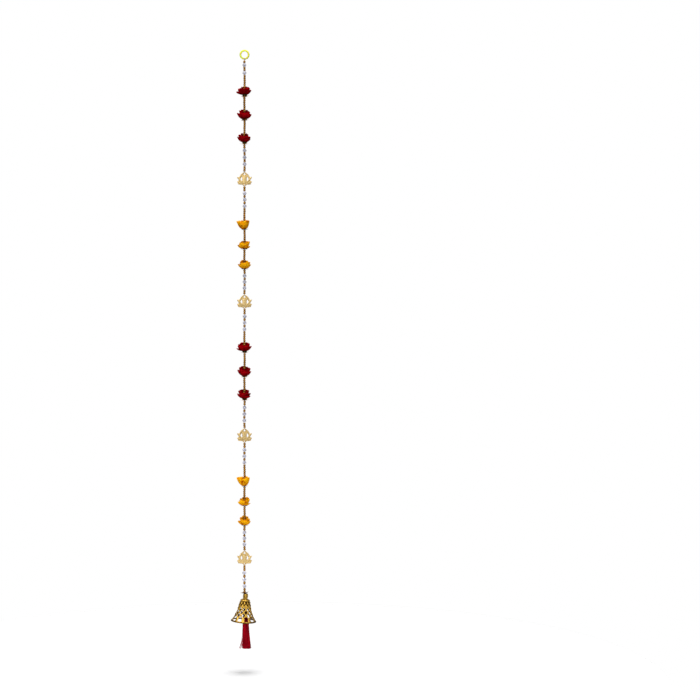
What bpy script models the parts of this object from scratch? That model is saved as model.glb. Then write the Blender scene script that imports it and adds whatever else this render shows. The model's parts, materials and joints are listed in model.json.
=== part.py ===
"""Toran door hanging: one strand of beads, cloth flowers and lotus charms, with a bell and a tassel.

Metres, +Z up. The origin is the inner top of the hanging ring, where it bears on what holds it up. The strand
hangs down from there, its front towards -Y. Depths are in millimetres below the top of the ring.
"""

import math
import random
from collections import namedtuple

import bmesh
import bpy
import numpy as np
from mathutils import Vector

MM = 0.001
GAP = 0.3

# Hanging ring, a round plastic ring seen face on
RING_OUTER = 16.6
RING_TUBE = 3.0
RING_STEPS = 24
RING_SECTION_STEPS = 6

# Thread and beads, as diameters and lengths along the thread
THREAD = 1.2
BORE_RADIUS = 1.05
GOLD_WIDTH = 3.5
GOLD_PITCH = 3.5
GOLD_NECK = 2.0
SPACER_WIDTH = 3.9
CLEAR_WIDTH = 6.7
CLEAR_LENGTH = 6.2
CLEAR_NECK = 2.2
GOLD_SIDES = 5
CLEAR_SIDES = 6

# Depths of the first clear beads, of the last gold beads, and of the bell's neck
KNOT_DEPTH = RING_OUTER + GAP
KNOT_LENGTH = 1.4
FIRST_BEAD_LENGTH = 4.2
FIRST_RUN_DEPTH = 41.9
TAIL_RUN_DEPTH = 898.9
BELL_DEPTH = 908.6
THREAD_IN_NECK = 2.0
STRAND_LENGTH = 1000.0

# Each band holds three flowers on a gold run, clear beads, a charm and clear beads again
Band = namedtuple("Band", "flowers run bases clear gold charm clear_again end")
BANDS = (
    Band("red", 41.9, (75.7, 116.4, 154.8), 165.2, 194.6, 203.9, 236.8, 264.2),
    Band("orange", 264.2, (299.9, 332.7, 366.1), 374.6, 401.3, 408.7, 442.2, 469.8),
    Band("red", 469.8, (503.5, 545.1, 582.8), 594.5, 622.6, 632.0, 665.2, 692.5),
    Band("orange", 692.5, (728.6, 761.4, 794.1), 803.3, 829.2, 836.6, 870.6, 898.9),
)

# Five petals a flower: the azimuth that each points in (0 is right, 270 is the front), reach and rise
Petal = namedtuple("Petal", "azimuth reach rise")
PETALS = {
    "red": (
        (
            Petal(5, 10.6, 8.6), Petal(62, 7.6, 13.2), Petal(122, 8.0, 12.4),
            Petal(190, 13.2, 4.6), Petal(268, 9.2, 6.0),
        ),
        (
            Petal(48, 8.6, 13.4), Petal(120, 6.6, 15.4), Petal(182, 10.6, 10.8),
            Petal(258, 8.4, 7.2), Petal(338, 10.8, 8.4),
        ),
        (
            Petal(12, 9.2, 9.8), Petal(75, 6.6, 16.0), Petal(132, 8.8, 14.8),
            Petal(190, 11.2, 8.8), Petal(278, 8.8, 6.2),
        ),
    ),
    "orange": (
        (
            Petal(40, 7.8, 15.2), Petal(105, 7.4, 15.2), Petal(170, 12.2, 14.8),
            Petal(238, 8.6, 9.2), Petal(325, 7.6, 14.4),
        ),
        (
            Petal(35, 7.8, 13.6), Petal(118, 6.2, 13.0), Petal(192, 10.4, 7.0),
            Petal(255, 7.4, 6.6), Petal(330, 8.9, 4.6),
        ),
        (
            Petal(28, 8.4, 11.8), Petal(100, 6.8, 15.4), Petal(182, 9.8, 8.2),
            Petal(262, 8.2, 6.8), Petal(340, 9.8, 7.8),
        ),
    ),
}
CUP_FLOOR = 4.6
CUP_MOUTH_RADIUS = 2.4
CLOTH_EDGE = 0.9
FLOWER_BASE_RADIUS = 2.6

# The rims of both layers at the notch, shoulder, tip and shoulder of each petal, as shares of reach and rise
OUTER_REACH = (0.76, 0.95, 1.0, 0.95)
OUTER_RISE = (0.82, 0.96, 1.0, 0.96)
INNER_REACH = (0.6, 0.55, 0.46, 0.55)
INNER_RISE = (0.86, 0.83, 0.74, 0.83)
INNER_RADIUS_RANGE = (3.5, 6.2)

# A flower's section: its belly as shares of the outer rim, and the valley between its two layers
BELLY_REACH = 0.7
BELLY_RISE = 0.25
VALLEY_WIDTH = 1.0
VALLEY_RISE = 0.4
VALLEY_FLOOR = 2.0
RIM_SLOPE = 0.2

# The rounded calyx under each red flower
CALYX_SIDES = 8
CALYX_HEIGHTS = {"red": (2.0, 0.9, 2.0), "orange": (0.0, 0.0, 0.0)}
CALYX_TOP_RADIUS = 3.3
CALYX_MIDDLE_RADIUS = 3.0
CALYX_FOOT_RADIUS = 1.9

# Pointed caps: five thin points round the thread, each cap with its reach, the lift of its tips and its turn
CAP_POINTS = 5
CAP_THICKNESS = 0.5
CAP_NOTCH_SHARE = 0.42
Cap = namedtuple("Cap", "reach lift turn")
GOLD_CAP = Cap(6.8, 1.2, 180.0)
SEPALS = Cap(6.2, 0.8, 180.0)
BELL_CAP = Cap(6.6, 1.6, 188.0)
SEPAL_TURN_STEP = 36.0

# Lotus charm, a stamped plate: right half of its outline from the top down, with each edge's bulge
CHARM_THICKNESS = 1.0
CHARM_HEIGHT = 24.0
Corner = namedtuple("Corner", "across up bulge")
LOTUS_HALF = (
    Corner(0.0, 24.0, 0.3),
    Corner(4.4, 20.8, 0.5),
    Corner(7.2, 17.8, 0.3),
    Corner(8.4, 15.2, -0.2),
    Corner(12.2, 15.6, 0.5),
    Corner(10.2, 11.2, -0.1),
    Corner(9.6, 9.3, -0.1),
    Corner(12.2, 7.8, 0.4),
    Corner(10.9, 5.4, 0.0),
    Corner(10.7, 3.2, 0.3),
    Corner(4.8, 2.6, -0.2),
    Corner(2.9, 1.7, 0.3),
    Corner(0.0, 0.0, 0.0),
)
LOTUS_TOP_HOLE = (Corner(0.0, 22.4, 0.1), Corner(2.0, 19.2, 0.1), Corner(0.0, 18.7, 0.0))
LOTUS_SIDE_HOLE = (
    Corner(4.3, 15.6, 0.5),
    Corner(6.7, 12.3, 0.3),
    Corner(5.9, 9.6, 0.4),
    Corner(3.6, 9.0, -0.5),
)
LOTUS_BOTTOM_HOLE = (Corner(0.0, 3.4, 0.2), Corner(1.1, 2.2, 0.2), Corner(0.0, 1.1, 0.0))
EDGE_STEPS = 2

# Bell, which leans and hangs a little to the right of the thread: radius at each depth below its neck's top
BELL_ASIDE = 2.0
BELL_LEAN = math.radians(4.6)
BELL_WALL = 1.0
BELL_COLUMNS = 20
BELL_TURN = math.pi / 10
BELL_PROFILE = (
    (0.0, 3.75), (8.2, 3.75), (9.8, 6.8), (10.8, 7.8), (15.3, 9.3), (21.3, 10.4),
    (27.2, 11.4), (31.7, 13.2), (37.7, 15.8), (42.1, 18.6), (46.0, 21.3),
)

# Depths of the lattice crossings, and half a strut width in each row. The closed rows have no holes
LATTICE_DEPTHS = (10.8, 15.0, 19.6, 24.4, 29.4, 34.4, 39.0)
LATTICE_STRUT_HALF = (1.1, 1.1, 1.05, 1.0, 1.0, 1.8)
CLOSED_ROWS = 2
RIM_TOP_DEPTH = 44.2
BELL_HEIGHT = 46.0

# Tassel, cut thread hanging from a bound head inside the bell
TASSEL_HEAD_DEPTH = 27.0
TASSEL_HEAD_HEIGHT = 5.0
TASSEL_CELLS = 8
TASSEL_ROOT_WIDTH = 9.4
TASSEL_END_WIDTH = 13.0
TASSEL_SEGMENTS = 2
TASSEL_INSET = 0.2
TASSEL_SWAY = 0.35
TASSEL_RAGGED_END = 2.5

# The tassel hangs a little to the right of the thread, by this share of the way down
TASSEL_SHEAR = 0.04

# The bound head: height from its top and share of the tassel's width, up to the thread that it hangs on
TASSEL_HEAD_PROFILE = ((-1.2, 0.96), (0.0, 0.5), (0.4, 0.13))
TASSEL_STEM_SHARE = 0.13


def clear_scene():
    for obj in list(bpy.data.objects):
        bpy.data.objects.remove(obj, do_unlink=True)


def depth_z(depth):
    """World height, in metres, of a depth in millimetres below the ring's outer top."""
    return (RING_TUBE - depth) * MM


def make_material(name, colour, roughness, metallic=0.0):
    material = bpy.data.materials.new(name)
    material.use_nodes = True
    shader = material.node_tree.nodes["Principled BSDF"]
    shader.inputs["Base Color"].default_value = (*colour, 1.0)
    shader.inputs["Roughness"].default_value = roughness
    shader.inputs["Metallic"].default_value = metallic
    return material


def make_object(collection, name, mesh, material):
    obj = bpy.data.objects.new(name, mesh)
    mesh.materials.append(material)
    collection.objects.link(obj)
    return obj


def closed_loft(name, rings):
    """A mesh from a grid of points that closes on itself both ways, such as a ring of changing section."""
    count, columns = rings.shape[:2]
    index = np.arange(count * columns).reshape(count, columns)
    right = np.roll(index, -1, axis=1)
    below = np.roll(index, -1, axis=0)
    corner = np.roll(right, -1, axis=0)
    faces = np.stack([index, right, corner, below], axis=-1).reshape(-1, 4)
    mesh = bpy.data.meshes.new(name)
    mesh.from_pydata((rings.reshape(-1, 3) * MM).tolist(), [], faces.tolist())
    shell = bmesh.new()
    shell.from_mesh(mesh)
    bmesh.ops.recalc_face_normals(shell, faces=shell.faces)
    shell.to_mesh(mesh)
    shell.free()
    return mesh


def turned_object(collection, name, profile, material, sides, closed=False):
    """A profile of (radius, height) points in millimetres, turned about Z with a Screw modifier."""
    points = [(radius * MM, 0.0, height * MM) for radius, height in profile]
    edges = [(i, i + 1) for i in range(len(points) - 1)]
    if closed:
        edges.append((len(points) - 1, 0))
    mesh = bpy.data.meshes.new(name)
    mesh.from_pydata(points, edges, [])
    obj = make_object(collection, name, mesh, material)
    screw = obj.modifiers.new("turn", "SCREW")
    screw.steps = sides
    screw.render_steps = sides
    screw.use_merge_vertices = True
    screw.merge_threshold = 0.00001
    return obj


def make_ring(collection, material):
    """The hanging ring, upright, its hole facing the front."""
    bpy.ops.mesh.primitive_torus_add(
        major_segments=RING_STEPS,
        minor_segments=RING_SECTION_STEPS,
        major_radius=(RING_OUTER - RING_TUBE) / 2 * MM,
        minor_radius=RING_TUBE / 2 * MM,
        location=(0.0, 0.0, depth_z(RING_OUTER / 2)),
        rotation=(math.pi / 2, 0.0, 0.0),
    )
    ring = bpy.context.object
    ring.name = "hanging_ring"
    ring.data.materials.append(material)
    ring.data.shade_smooth()
    for owner in list(ring.users_collection):
        owner.objects.unlink(ring)
    collection.objects.link(ring)


def gold_bead(top, bottom, width):
    """Profile of one round bead between two depths, without its lower neck."""
    length = bottom - top
    return [
        (GOLD_NECK / 2, top),
        (width / 2, top + 0.25 * length),
        (width / 2, top + 0.75 * length),
    ]


def gold_run(top, bottom):
    """Profile of small gold beads that fill a length, each touching the next."""
    count = max(1, round((bottom - top) / GOLD_PITCH))
    pitch = (bottom - top) / count
    points = []
    for i in range(count):
        points += gold_bead(top + i * pitch, top + (i + 1) * pitch, GOLD_WIDTH)
    return points + [(GOLD_NECK / 2, bottom)]


def clear_group(top, bottom, clears):
    """Profile of clear faceted beads with one gold spacer between each two."""
    spacer = (bottom - top - clears * CLEAR_LENGTH) / (clears - 1)
    points = [(CLEAR_NECK / 2, top)]
    depth = top
    for i in range(clears):
        points.append((CLEAR_WIDTH / 2, depth + CLEAR_LENGTH / 2))
        depth += CLEAR_LENGTH
        if i < clears - 1:
            points += gold_bead(depth, depth + spacer, SPACER_WIDTH)
            depth += spacer
    return points + [(CLEAR_NECK / 2, bottom)]


def thread_run(top, bottom):
    return [(THREAD / 2, top), (THREAD / 2, bottom)]


def make_string(collection, name, sections, material, sides=GOLD_SIDES):
    """One turned string of beads: sections of (radius, depth) points, closed on the thread's axis."""
    profile = [point for section in sections for point in section]
    closed = [(0.0, profile[0][1]), *profile, (0.0, profile[-1][1])]
    heights = [(radius, RING_TUBE - depth) for radius, depth in closed]
    turned_object(collection, name, heights, material, sides)


def below_flower(kind, place):
    """How far the calyx and the cap reach below a flower's base."""
    calyx = CALYX_HEIGHTS[kind][place]
    return CAP_THICKNESS + 2 * GAP + (calyx + GAP if calyx else 0.0)


def flower_columns(petals):
    """Azimuths, reaches and rises at the notch, shoulder, tip and shoulder of each petal in turn."""
    azimuth = np.array([petal.azimuth for petal in petals], float)
    before = np.roll(azimuth, 1)
    before[0] -= 360.0
    after = np.roll(azimuth, -1)
    after[-1] += 360.0
    notch = (before + azimuth) / 2
    next_notch = (azimuth + after) / 2
    angles = np.stack([notch, (notch + azimuth) / 2, azimuth, (azimuth + next_notch) / 2], axis=1)
    sizes = []
    for key in ("reach", "rise"):
        own = np.array([getattr(petal, key) for petal in petals])
        shared = (np.roll(own, 1) + own) / 2
        following = (own + np.roll(own, -1)) / 2
        sizes.append(np.stack([shared, (shared + own) / 2, own, (own + following) / 2], axis=1).ravel())
    return np.radians(angles.ravel()), sizes[0], sizes[1]


def make_flower(collection, name, petals, base_depth, material):
    """A cupped flower: an outer and an inner layer of petals round a bore for the thread."""
    angles, reach, rise = flower_columns(petals)
    count = len(petals)
    outer_rise = np.tile(OUTER_RISE, count)
    inner_radius = np.clip(reach * np.tile(INNER_REACH, count), *INNER_RADIUS_RANGE)
    inner_rise = rise.max() * np.tile(INNER_RISE, count)
    tip_inside = np.maximum(reach * np.tile(OUTER_REACH, count) - CLOTH_EDGE, inner_radius + VALLEY_WIDTH)
    tip_outside = tip_inside + CLOTH_EDGE
    ones = np.ones_like(reach)
    sections = (
        (BORE_RADIUS * ones, 0.0 * ones),
        (FLOWER_BASE_RADIUS * ones, 0.0 * ones),
        (BELLY_REACH * tip_outside, BELLY_RISE * rise * outer_rise),
        (tip_outside, rise * outer_rise),
        (tip_inside, rise * outer_rise + RIM_SLOPE),
        ((tip_inside + inner_radius) / 2, VALLEY_RISE * rise * outer_rise + VALLEY_FLOOR),
        (inner_radius, inner_rise),
        (np.maximum(inner_radius - CLOTH_EDGE, FLOWER_BASE_RADIUS), inner_rise + RIM_SLOPE),
        (CUP_MOUTH_RADIUS * ones, CUP_FLOOR * ones),
        (BORE_RADIUS * ones, CUP_FLOOR * ones),
    )
    rings = np.array([
        np.stack([radius * np.cos(angles), radius * np.sin(angles), height + RING_TUBE - base_depth], axis=-1)
        for radius, height in sections
    ])
    make_object(collection, name, closed_loft(name, rings), material)


def make_cap(collection, name, top_depth, cap, turn, material):
    """A thin cap round a bore for the thread, with five points that rise to the cap's lift at their tips."""
    angles = math.radians(turn) + np.arange(2 * CAP_POINTS) * math.pi / CAP_POINTS
    radius = np.where(np.arange(2 * CAP_POINTS) % 2 == 0, cap.reach, CAP_NOTCH_SHARE * cap.reach)
    rise = cap.lift * (radius / cap.reach) ** 2
    low = RING_TUBE - top_depth - CAP_THICKNESS
    ones = np.ones_like(radius)
    sections = (
        (BORE_RADIUS * ones, low * ones),
        (radius, low + rise),
        (BORE_RADIUS * ones, (low + CAP_THICKNESS) * ones),
    )
    rings = np.array([
        np.stack([across * np.cos(angles), across * np.sin(angles), height], axis=-1)
        for across, height in sections
    ])
    make_object(collection, name, closed_loft(name, rings), material)


def make_calyx(collection, name, top_depth, height, material):
    """The rounded calyx between a flower and its cap, bored for the thread."""
    top = RING_TUBE - top_depth
    profile = (
        (BORE_RADIUS, top),
        (CALYX_TOP_RADIUS, top),
        (CALYX_MIDDLE_RADIUS, top - 0.5 * height),
        (CALYX_FOOT_RADIUS, top - height),
        (BORE_RADIUS, top - height),
    )
    turned_object(collection, name, profile, material, CALYX_SIDES, closed=True)


def bulged(corners):
    """Points along a chain of corners, each edge an arc-like bow by its first corner's bulge."""
    points = []
    for first, second in zip(corners, corners[1:]):
        start = Vector((first.across, first.up))
        run = Vector((second.across, second.up)) - start
        outward = Vector((-run.y, run.x)).normalized()
        steps = EDGE_STEPS if first.bulge else 1
        for i in range(steps):
            t = i / steps
            points.append(start + run * t + outward * first.bulge * 4 * t * (1 - t))
    return points + [Vector((corners[-1].across, corners[-1].up))]


def mirrored(corners):
    """A closed outline from its right half, whose ends lie on the middle line."""
    right = bulged(corners)
    return right + [Vector((-p.x, p.y)) for p in reversed(right[1:-1])]


def plate_mesh(name, outlines, thickness):
    """A flat plate from closed outlines, the later ones its holes: a filled curve made a welded mesh."""
    curve = bpy.data.curves.new(name, "CURVE")
    curve.dimensions = "2D"
    curve.fill_mode = "BOTH"
    curve.extrude = thickness / 2 * MM
    for outline in outlines:
        spline = curve.splines.new("POLY")
        spline.points.add(len(outline) - 1)
        for point, place in zip(spline.points, outline):
            point.co = (place.x * MM, place.y * MM, 0.0, 1.0)
        spline.use_cyclic_u = True
    guide = bpy.data.objects.new(name, curve)
    bpy.context.scene.collection.objects.link(guide)
    graph = bpy.context.evaluated_depsgraph_get()
    mesh = bpy.data.meshes.new_from_object(guide.evaluated_get(graph))
    bpy.data.objects.remove(guide, do_unlink=True)
    plate = bmesh.new()
    plate.from_mesh(mesh)
    bmesh.ops.remove_doubles(plate, verts=plate.verts, dist=0.000001)
    bmesh.ops.recalc_face_normals(plate, faces=plate.faces)
    plate.to_mesh(mesh)
    plate.free()
    mesh.materials.clear()
    return mesh


def make_charm(collection, name, bottom_depth, material):
    """The openwork lotus plate with its holes, upright, facing the front."""
    side = bulged((*LOTUS_SIDE_HOLE, LOTUS_SIDE_HOLE[0]))[:-1]
    outlines = (
        mirrored(LOTUS_HALF),
        mirrored(LOTUS_TOP_HOLE),
        mirrored(LOTUS_BOTTOM_HOLE),
        side,
        [Vector((-p.x, p.y)) for p in reversed(side)],
    )
    charm = make_object(collection, name, plate_mesh(name, outlines, CHARM_THICKNESS), material)
    charm.location = (0.0, 0.0, depth_z(bottom_depth))
    charm.rotation_euler = (math.pi / 2, 0.0, 0.0)


def bell_radius(depth):
    depths, radii = zip(*BELL_PROFILE)
    return float(np.interp(depth, depths, radii))


def make_bell(collection, material):
    """The bell: a neck, a shell whose lower rows are an open lattice, and a rim. Solidify gives its wall."""
    shell = bmesh.new()

    def level(depth, radius, first=0, step=2):
        found = {}
        for column in range(first, BELL_COLUMNS, step):
            angle = BELL_TURN + 2 * math.pi * column / BELL_COLUMNS
            place = (radius * math.cos(angle) * MM, radius * math.sin(angle) * MM, -depth * MM)
            found[column] = shell.verts.new(place)
        return found

    def face(*verts):
        return shell.faces.new(verts)

    def ring_between(upper, lower, step):
        for column in upper:
            after = (column + step) % BELL_COLUMNS
            face(upper[column], lower[column], lower[after], upper[after])

    collar = level(0.0, THREAD / 2 + GAP + BELL_ASIDE)
    neck_top = level(0.0, bell_radius(0.0))
    neck_foot = level(*BELL_PROFILE[1])
    shoulder = level(*BELL_PROFILE[2])
    rows = [level(depth, bell_radius(depth), i % 2) for i, depth in enumerate(LATTICE_DEPTHS)]
    rim_top = level(RIM_TOP_DEPTH, bell_radius(RIM_TOP_DEPTH), 0, 1)
    rim = level(BELL_HEIGHT, bell_radius(BELL_HEIGHT), 0, 1)
    ring_between(collar, neck_top, 2)
    ring_between(neck_top, neck_foot, 2)
    ring_between(neck_foot, shoulder, 2)
    ring_between(shoulder, rows[0], 2)
    for column in rows[0]:
        face(rows[0][column], rows[1][column + 1], rows[0][(column + 2) % BELL_COLUMNS])
    openings = []
    for i in range(1, len(rows) - 1):
        for column, vert in rows[i].items():
            after = (column + 2) % BELL_COLUMNS
            middle = (column + 1) % BELL_COLUMNS
            diamond = face(vert, rows[i + 1][middle], rows[i][after], rows[i - 1][middle])
            if i > CLOSED_ROWS:
                openings.append((i, diamond))
    last, above = rows[-1], rows[-2]
    for column, vert in last.items():
        after = (column + 2) % BELL_COLUMNS
        middle = (column + 1) % BELL_COLUMNS
        arch = face(vert, rim_top[column], rim_top[middle], rim_top[after], last[after], above[middle])
        openings.append((len(rows) - 1, arch))
    ring_between(rim_top, rim, 1)
    for i, opening in openings:
        bmesh.ops.inset_individual(shell, faces=[opening], thickness=LATTICE_STRUT_HALF[i - 1] * MM,
                                   use_even_offset=True)
        bmesh.ops.delete(shell, geom=[opening], context="FACES_ONLY")
    bmesh.ops.recalc_face_normals(shell, faces=shell.faces)
    mesh = bpy.data.meshes.new("bell")
    shell.to_mesh(mesh)
    shell.free()
    bell = make_object(collection, "bell", mesh, material)
    bell.location = (BELL_ASIDE * MM, 0.0, depth_z(BELL_DEPTH))
    bell.rotation_euler = (0.0, BELL_LEAN, 0.0)
    wall = bell.modifiers.new("wall", "SOLIDIFY")
    wall.thickness = BELL_WALL * MM
    wall.offset = 0.0


def disc_point(across, along):
    """Where a point of the square from -1 to 1 lies on the unit disc."""
    return (across * math.sqrt(1 - along * along / 2), along * math.sqrt(1 - across * across / 2))


def make_tassel(collection, material):
    """The tassel: a bound head on its thread, and four-sided strands from each cell of its underside."""
    draw = random.Random(7)
    head_top = RING_TUBE - BELL_DEPTH - TASSEL_HEAD_DEPTH
    root = head_top - TASSEL_HEAD_HEIGHT
    stem_top = RING_TUBE - BELL_DEPTH - THREAD_IN_NECK - GAP
    end = RING_TUBE - STRAND_LENGTH
    tassel = bmesh.new()
    made = bmesh.ops.create_grid(tassel, x_segments=TASSEL_CELLS, y_segments=TASSEL_CELLS, size=1.0)
    for vert in made["verts"]:
        across, along = disc_point(vert.co.x, vert.co.y)
        vert.co = (across * TASSEL_ROOT_WIDTH / 2, along * TASSEL_ROOT_WIDTH / 2, root)
    cells = list(tassel.faces)
    rim = [edge for edge in tassel.edges if edge.is_boundary]
    head = [(head_top + above, share) for above, share in TASSEL_HEAD_PROFILE]
    for height, share in (*head, (stem_top, TASSEL_STEM_SHARE)):
        raised = bmesh.ops.extrude_edge_only(tassel, edges=rim)["geom"]
        rim = [item for item in raised if isinstance(item, bmesh.types.BMEdge)]
        for vert in (item for item in raised if isinstance(item, bmesh.types.BMVert)):
            flat = Vector((vert.co.x, vert.co.y, 0.0)).normalized() * share * TASSEL_ROOT_WIDTH / 2
            vert.co = (flat.x, flat.y, height)
    bmesh.ops.holes_fill(tassel, edges=rim)
    length = root - end
    for cell in cells:
        bmesh.ops.inset_individual(tassel, faces=[cell], thickness=TASSEL_INSET, use_even_offset=True)
        centre = cell.calc_center_median()
        spread = Vector((centre.x, centre.y, 0.0)) * (TASSEL_END_WIDTH / TASSEL_ROOT_WIDTH - 1)
        shorter = draw.uniform(0.0, TASSEL_RAGGED_END)
        strand = cell
        for segment in range(1, TASSEL_SEGMENTS + 1):
            down = bmesh.ops.extrude_discrete_faces(tassel, faces=[strand])
            strand = down["faces"][0]
            t = segment / TASSEL_SEGMENTS
            sway = Vector((draw.uniform(-1, 1), draw.uniform(-1, 1), 0.0)) * TASSEL_SWAY * t
            step = Vector((0.0, 0.0, -(length - shorter) / TASSEL_SEGMENTS))
            for vert in strand.verts:
                vert.co += step + spread / TASSEL_SEGMENTS + sway / TASSEL_SEGMENTS
    for vert in tassel.verts:
        vert.co.x += TASSEL_SHEAR * (stem_top - vert.co.z)
    bmesh.ops.scale(tassel, vec=(MM, MM, MM), verts=tassel.verts)
    bmesh.ops.recalc_face_normals(tassel, faces=tassel.faces)
    mesh = bpy.data.meshes.new("tassel")
    tassel.to_mesh(mesh)
    tassel.free()
    make_object(collection, "tassel", mesh, material)


def make_band(collection, number, band, materials):
    """Three flowers on their run, the clear beads, the charm and the clear beads after it."""
    sections = []
    depth = band.run + GAP
    cloth = materials["red_cloth"] if band.flowers == "red" else materials["orange_cloth"]
    for place, base in enumerate(band.bases):
        name = f"{number}_{place + 1}"
        make_flower(collection, f"flower_{name}", PETALS[band.flowers][place], base, cloth)
        calyx = CALYX_HEIGHTS[band.flowers][place]
        foot = base + GAP
        if calyx:
            make_calyx(collection, f"calyx_{name}", foot, calyx, materials["calyx"])
            foot += calyx + GAP
            make_cap(collection, f"cap_{name}", foot, GOLD_CAP, GOLD_CAP.turn, materials["antique_gold"])
        else:
            turn = SEPALS.turn + SEPAL_TURN_STEP * place
            make_cap(collection, f"calyx_{name}", foot, SEPALS, turn, materials["calyx"])
        seat = base - CUP_FLOOR - GAP
        sections.append(gold_run(depth, seat))
        depth = base + below_flower(band.flowers, place)
        sections.append(thread_run(seat, depth))
    sections.append(gold_run(depth, band.clear - GAP))
    make_string(collection, f"gold_run_{number}", sections, materials["antique_gold"])
    clear = materials["clear_bead"]
    gold = materials["antique_gold"]
    above = clear_group(band.clear, band.gold - GAP, 3)
    make_string(collection, f"clear_above_{number}", [above], clear, CLEAR_SIDES)
    make_string(collection, f"gold_above_{number}", [gold_run(band.gold, band.charm - GAP)], gold)
    make_charm(collection, f"lotus_{number}", band.charm + CHARM_HEIGHT, materials["pale_gold"])
    lower = band.charm + CHARM_HEIGHT + GAP
    make_string(collection, f"gold_below_{number}", [gold_run(lower, band.clear_again - GAP)], gold)
    below = clear_group(band.clear_again, band.end, 3)
    make_string(collection, f"clear_below_{number}", [below], clear, CLEAR_SIDES)


def main():
    clear_scene()
    collection = bpy.data.collections.new("toran_door_hanging")
    bpy.context.scene.collection.children.link(collection)
    materials = {
        "lime_plastic": make_material("lime_plastic", (0.62, 0.78, 0.03), 0.3),
        "antique_gold": make_material("antique_gold", (0.42, 0.24, 0.07), 0.35, 1.0),
        "clear_bead": make_material("clear_bead", (0.75, 0.78, 0.92), 0.08),
        "pale_gold": make_material("pale_gold", (0.83, 0.6, 0.22), 0.3, 1.0),
        "bell_gold": make_material("bell_gold", (0.68, 0.43, 0.07), 0.25, 1.0),
        "red_cloth": make_material("red_cloth", (0.2, 0.0, 0.006), 0.9),
        "orange_cloth": make_material("orange_cloth", (0.7, 0.26, 0.006), 0.9),
        "calyx": make_material("calyx", (0.02, 0.028, 0.008), 0.8),
        "red_thread": make_material("red_thread", (0.24, 0.0, 0.012), 0.6),
    }
    make_ring(collection, materials["lime_plastic"])
    bead_top = KNOT_DEPTH + KNOT_LENGTH
    bead_end = bead_top + FIRST_BEAD_LENGTH
    loop = thread_run(KNOT_DEPTH, bead_top)
    first_bead = gold_bead(bead_top, bead_end, SPACER_WIDTH)
    first_clears = clear_group(bead_end, FIRST_RUN_DEPTH, 2)
    first = [loop, first_bead, first_clears]
    make_string(collection, "clear_first", first, materials["clear_bead"], CLEAR_SIDES)
    for number, band in enumerate(BANDS, 1):
        make_band(collection, number, band, materials)
    tail_end = BELL_DEPTH - BELL_WALL / 2 - CAP_THICKNESS - 2 * GAP
    tail = [gold_run(TAIL_RUN_DEPTH + GAP, tail_end), thread_run(tail_end, BELL_DEPTH + THREAD_IN_NECK)]
    make_string(collection, "gold_last", tail, materials["antique_gold"])
    make_cap(collection, "cap_bell", tail_end + GAP, BELL_CAP, BELL_CAP.turn, materials["antique_gold"])
    make_bell(collection, materials["bell_gold"])
    make_tassel(collection, materials["red_thread"])


main()
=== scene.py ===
# %% [markdown]
# # A toran door hanging, dressed around its solids
#
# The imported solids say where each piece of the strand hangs. This file gives every one of them its real
# surface: single beads on a twisted thread, cut cloth petals, stamped lotus plates, a cast openwork bell
# and a silky tassel. Lengths are in metres unless a comment says mm, +Z is up, and the strand's front looks
# to -Y.

import json
import math

import bmesh
import bpy
import numpy as np
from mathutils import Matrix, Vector

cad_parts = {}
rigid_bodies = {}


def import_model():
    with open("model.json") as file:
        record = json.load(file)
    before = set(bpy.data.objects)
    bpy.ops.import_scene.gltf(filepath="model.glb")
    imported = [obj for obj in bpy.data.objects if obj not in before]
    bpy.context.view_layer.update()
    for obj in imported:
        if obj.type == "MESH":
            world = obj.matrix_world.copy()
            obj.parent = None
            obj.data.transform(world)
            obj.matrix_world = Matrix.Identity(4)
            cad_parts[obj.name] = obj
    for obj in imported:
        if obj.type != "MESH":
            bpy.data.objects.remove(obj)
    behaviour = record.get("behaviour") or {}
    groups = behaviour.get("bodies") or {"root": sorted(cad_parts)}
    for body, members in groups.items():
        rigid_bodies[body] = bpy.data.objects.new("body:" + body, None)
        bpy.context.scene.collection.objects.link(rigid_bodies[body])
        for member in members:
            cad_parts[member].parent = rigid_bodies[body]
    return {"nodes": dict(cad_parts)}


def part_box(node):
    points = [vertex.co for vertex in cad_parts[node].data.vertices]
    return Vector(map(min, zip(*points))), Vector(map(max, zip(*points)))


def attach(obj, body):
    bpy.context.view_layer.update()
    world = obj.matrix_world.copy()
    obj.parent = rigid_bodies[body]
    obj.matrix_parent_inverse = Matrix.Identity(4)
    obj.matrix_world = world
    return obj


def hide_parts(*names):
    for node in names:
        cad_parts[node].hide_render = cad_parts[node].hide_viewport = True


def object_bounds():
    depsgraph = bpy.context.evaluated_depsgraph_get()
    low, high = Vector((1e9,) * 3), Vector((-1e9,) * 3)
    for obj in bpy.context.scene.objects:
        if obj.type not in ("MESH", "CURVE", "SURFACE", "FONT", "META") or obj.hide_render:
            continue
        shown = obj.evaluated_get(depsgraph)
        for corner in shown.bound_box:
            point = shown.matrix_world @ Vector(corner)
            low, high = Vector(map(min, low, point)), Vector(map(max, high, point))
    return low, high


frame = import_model()
cad_box = [list(corner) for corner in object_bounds()]
MM = 0.001
GAP = 0.3 * MM
BANDS = range(1, 5)
FLOWERS = range(1, 4)
draw = np.random.default_rng(11)
print("nodes:", len(frame["nodes"]), "height:", round(cad_box[1][2] - cad_box[0][2], 4))

# %% [markdown]
# ## From arrays to meshes
#
# Every new surface below is a grid of points: rows along one parameter, columns along the other, and often
# many copies of it at once. One function turns such a grid into quads. A grid can close on itself either
# way, as a tube or a ring does, so that no seam stays open. The texture coordinates run along the same two
# parameters.

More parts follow.
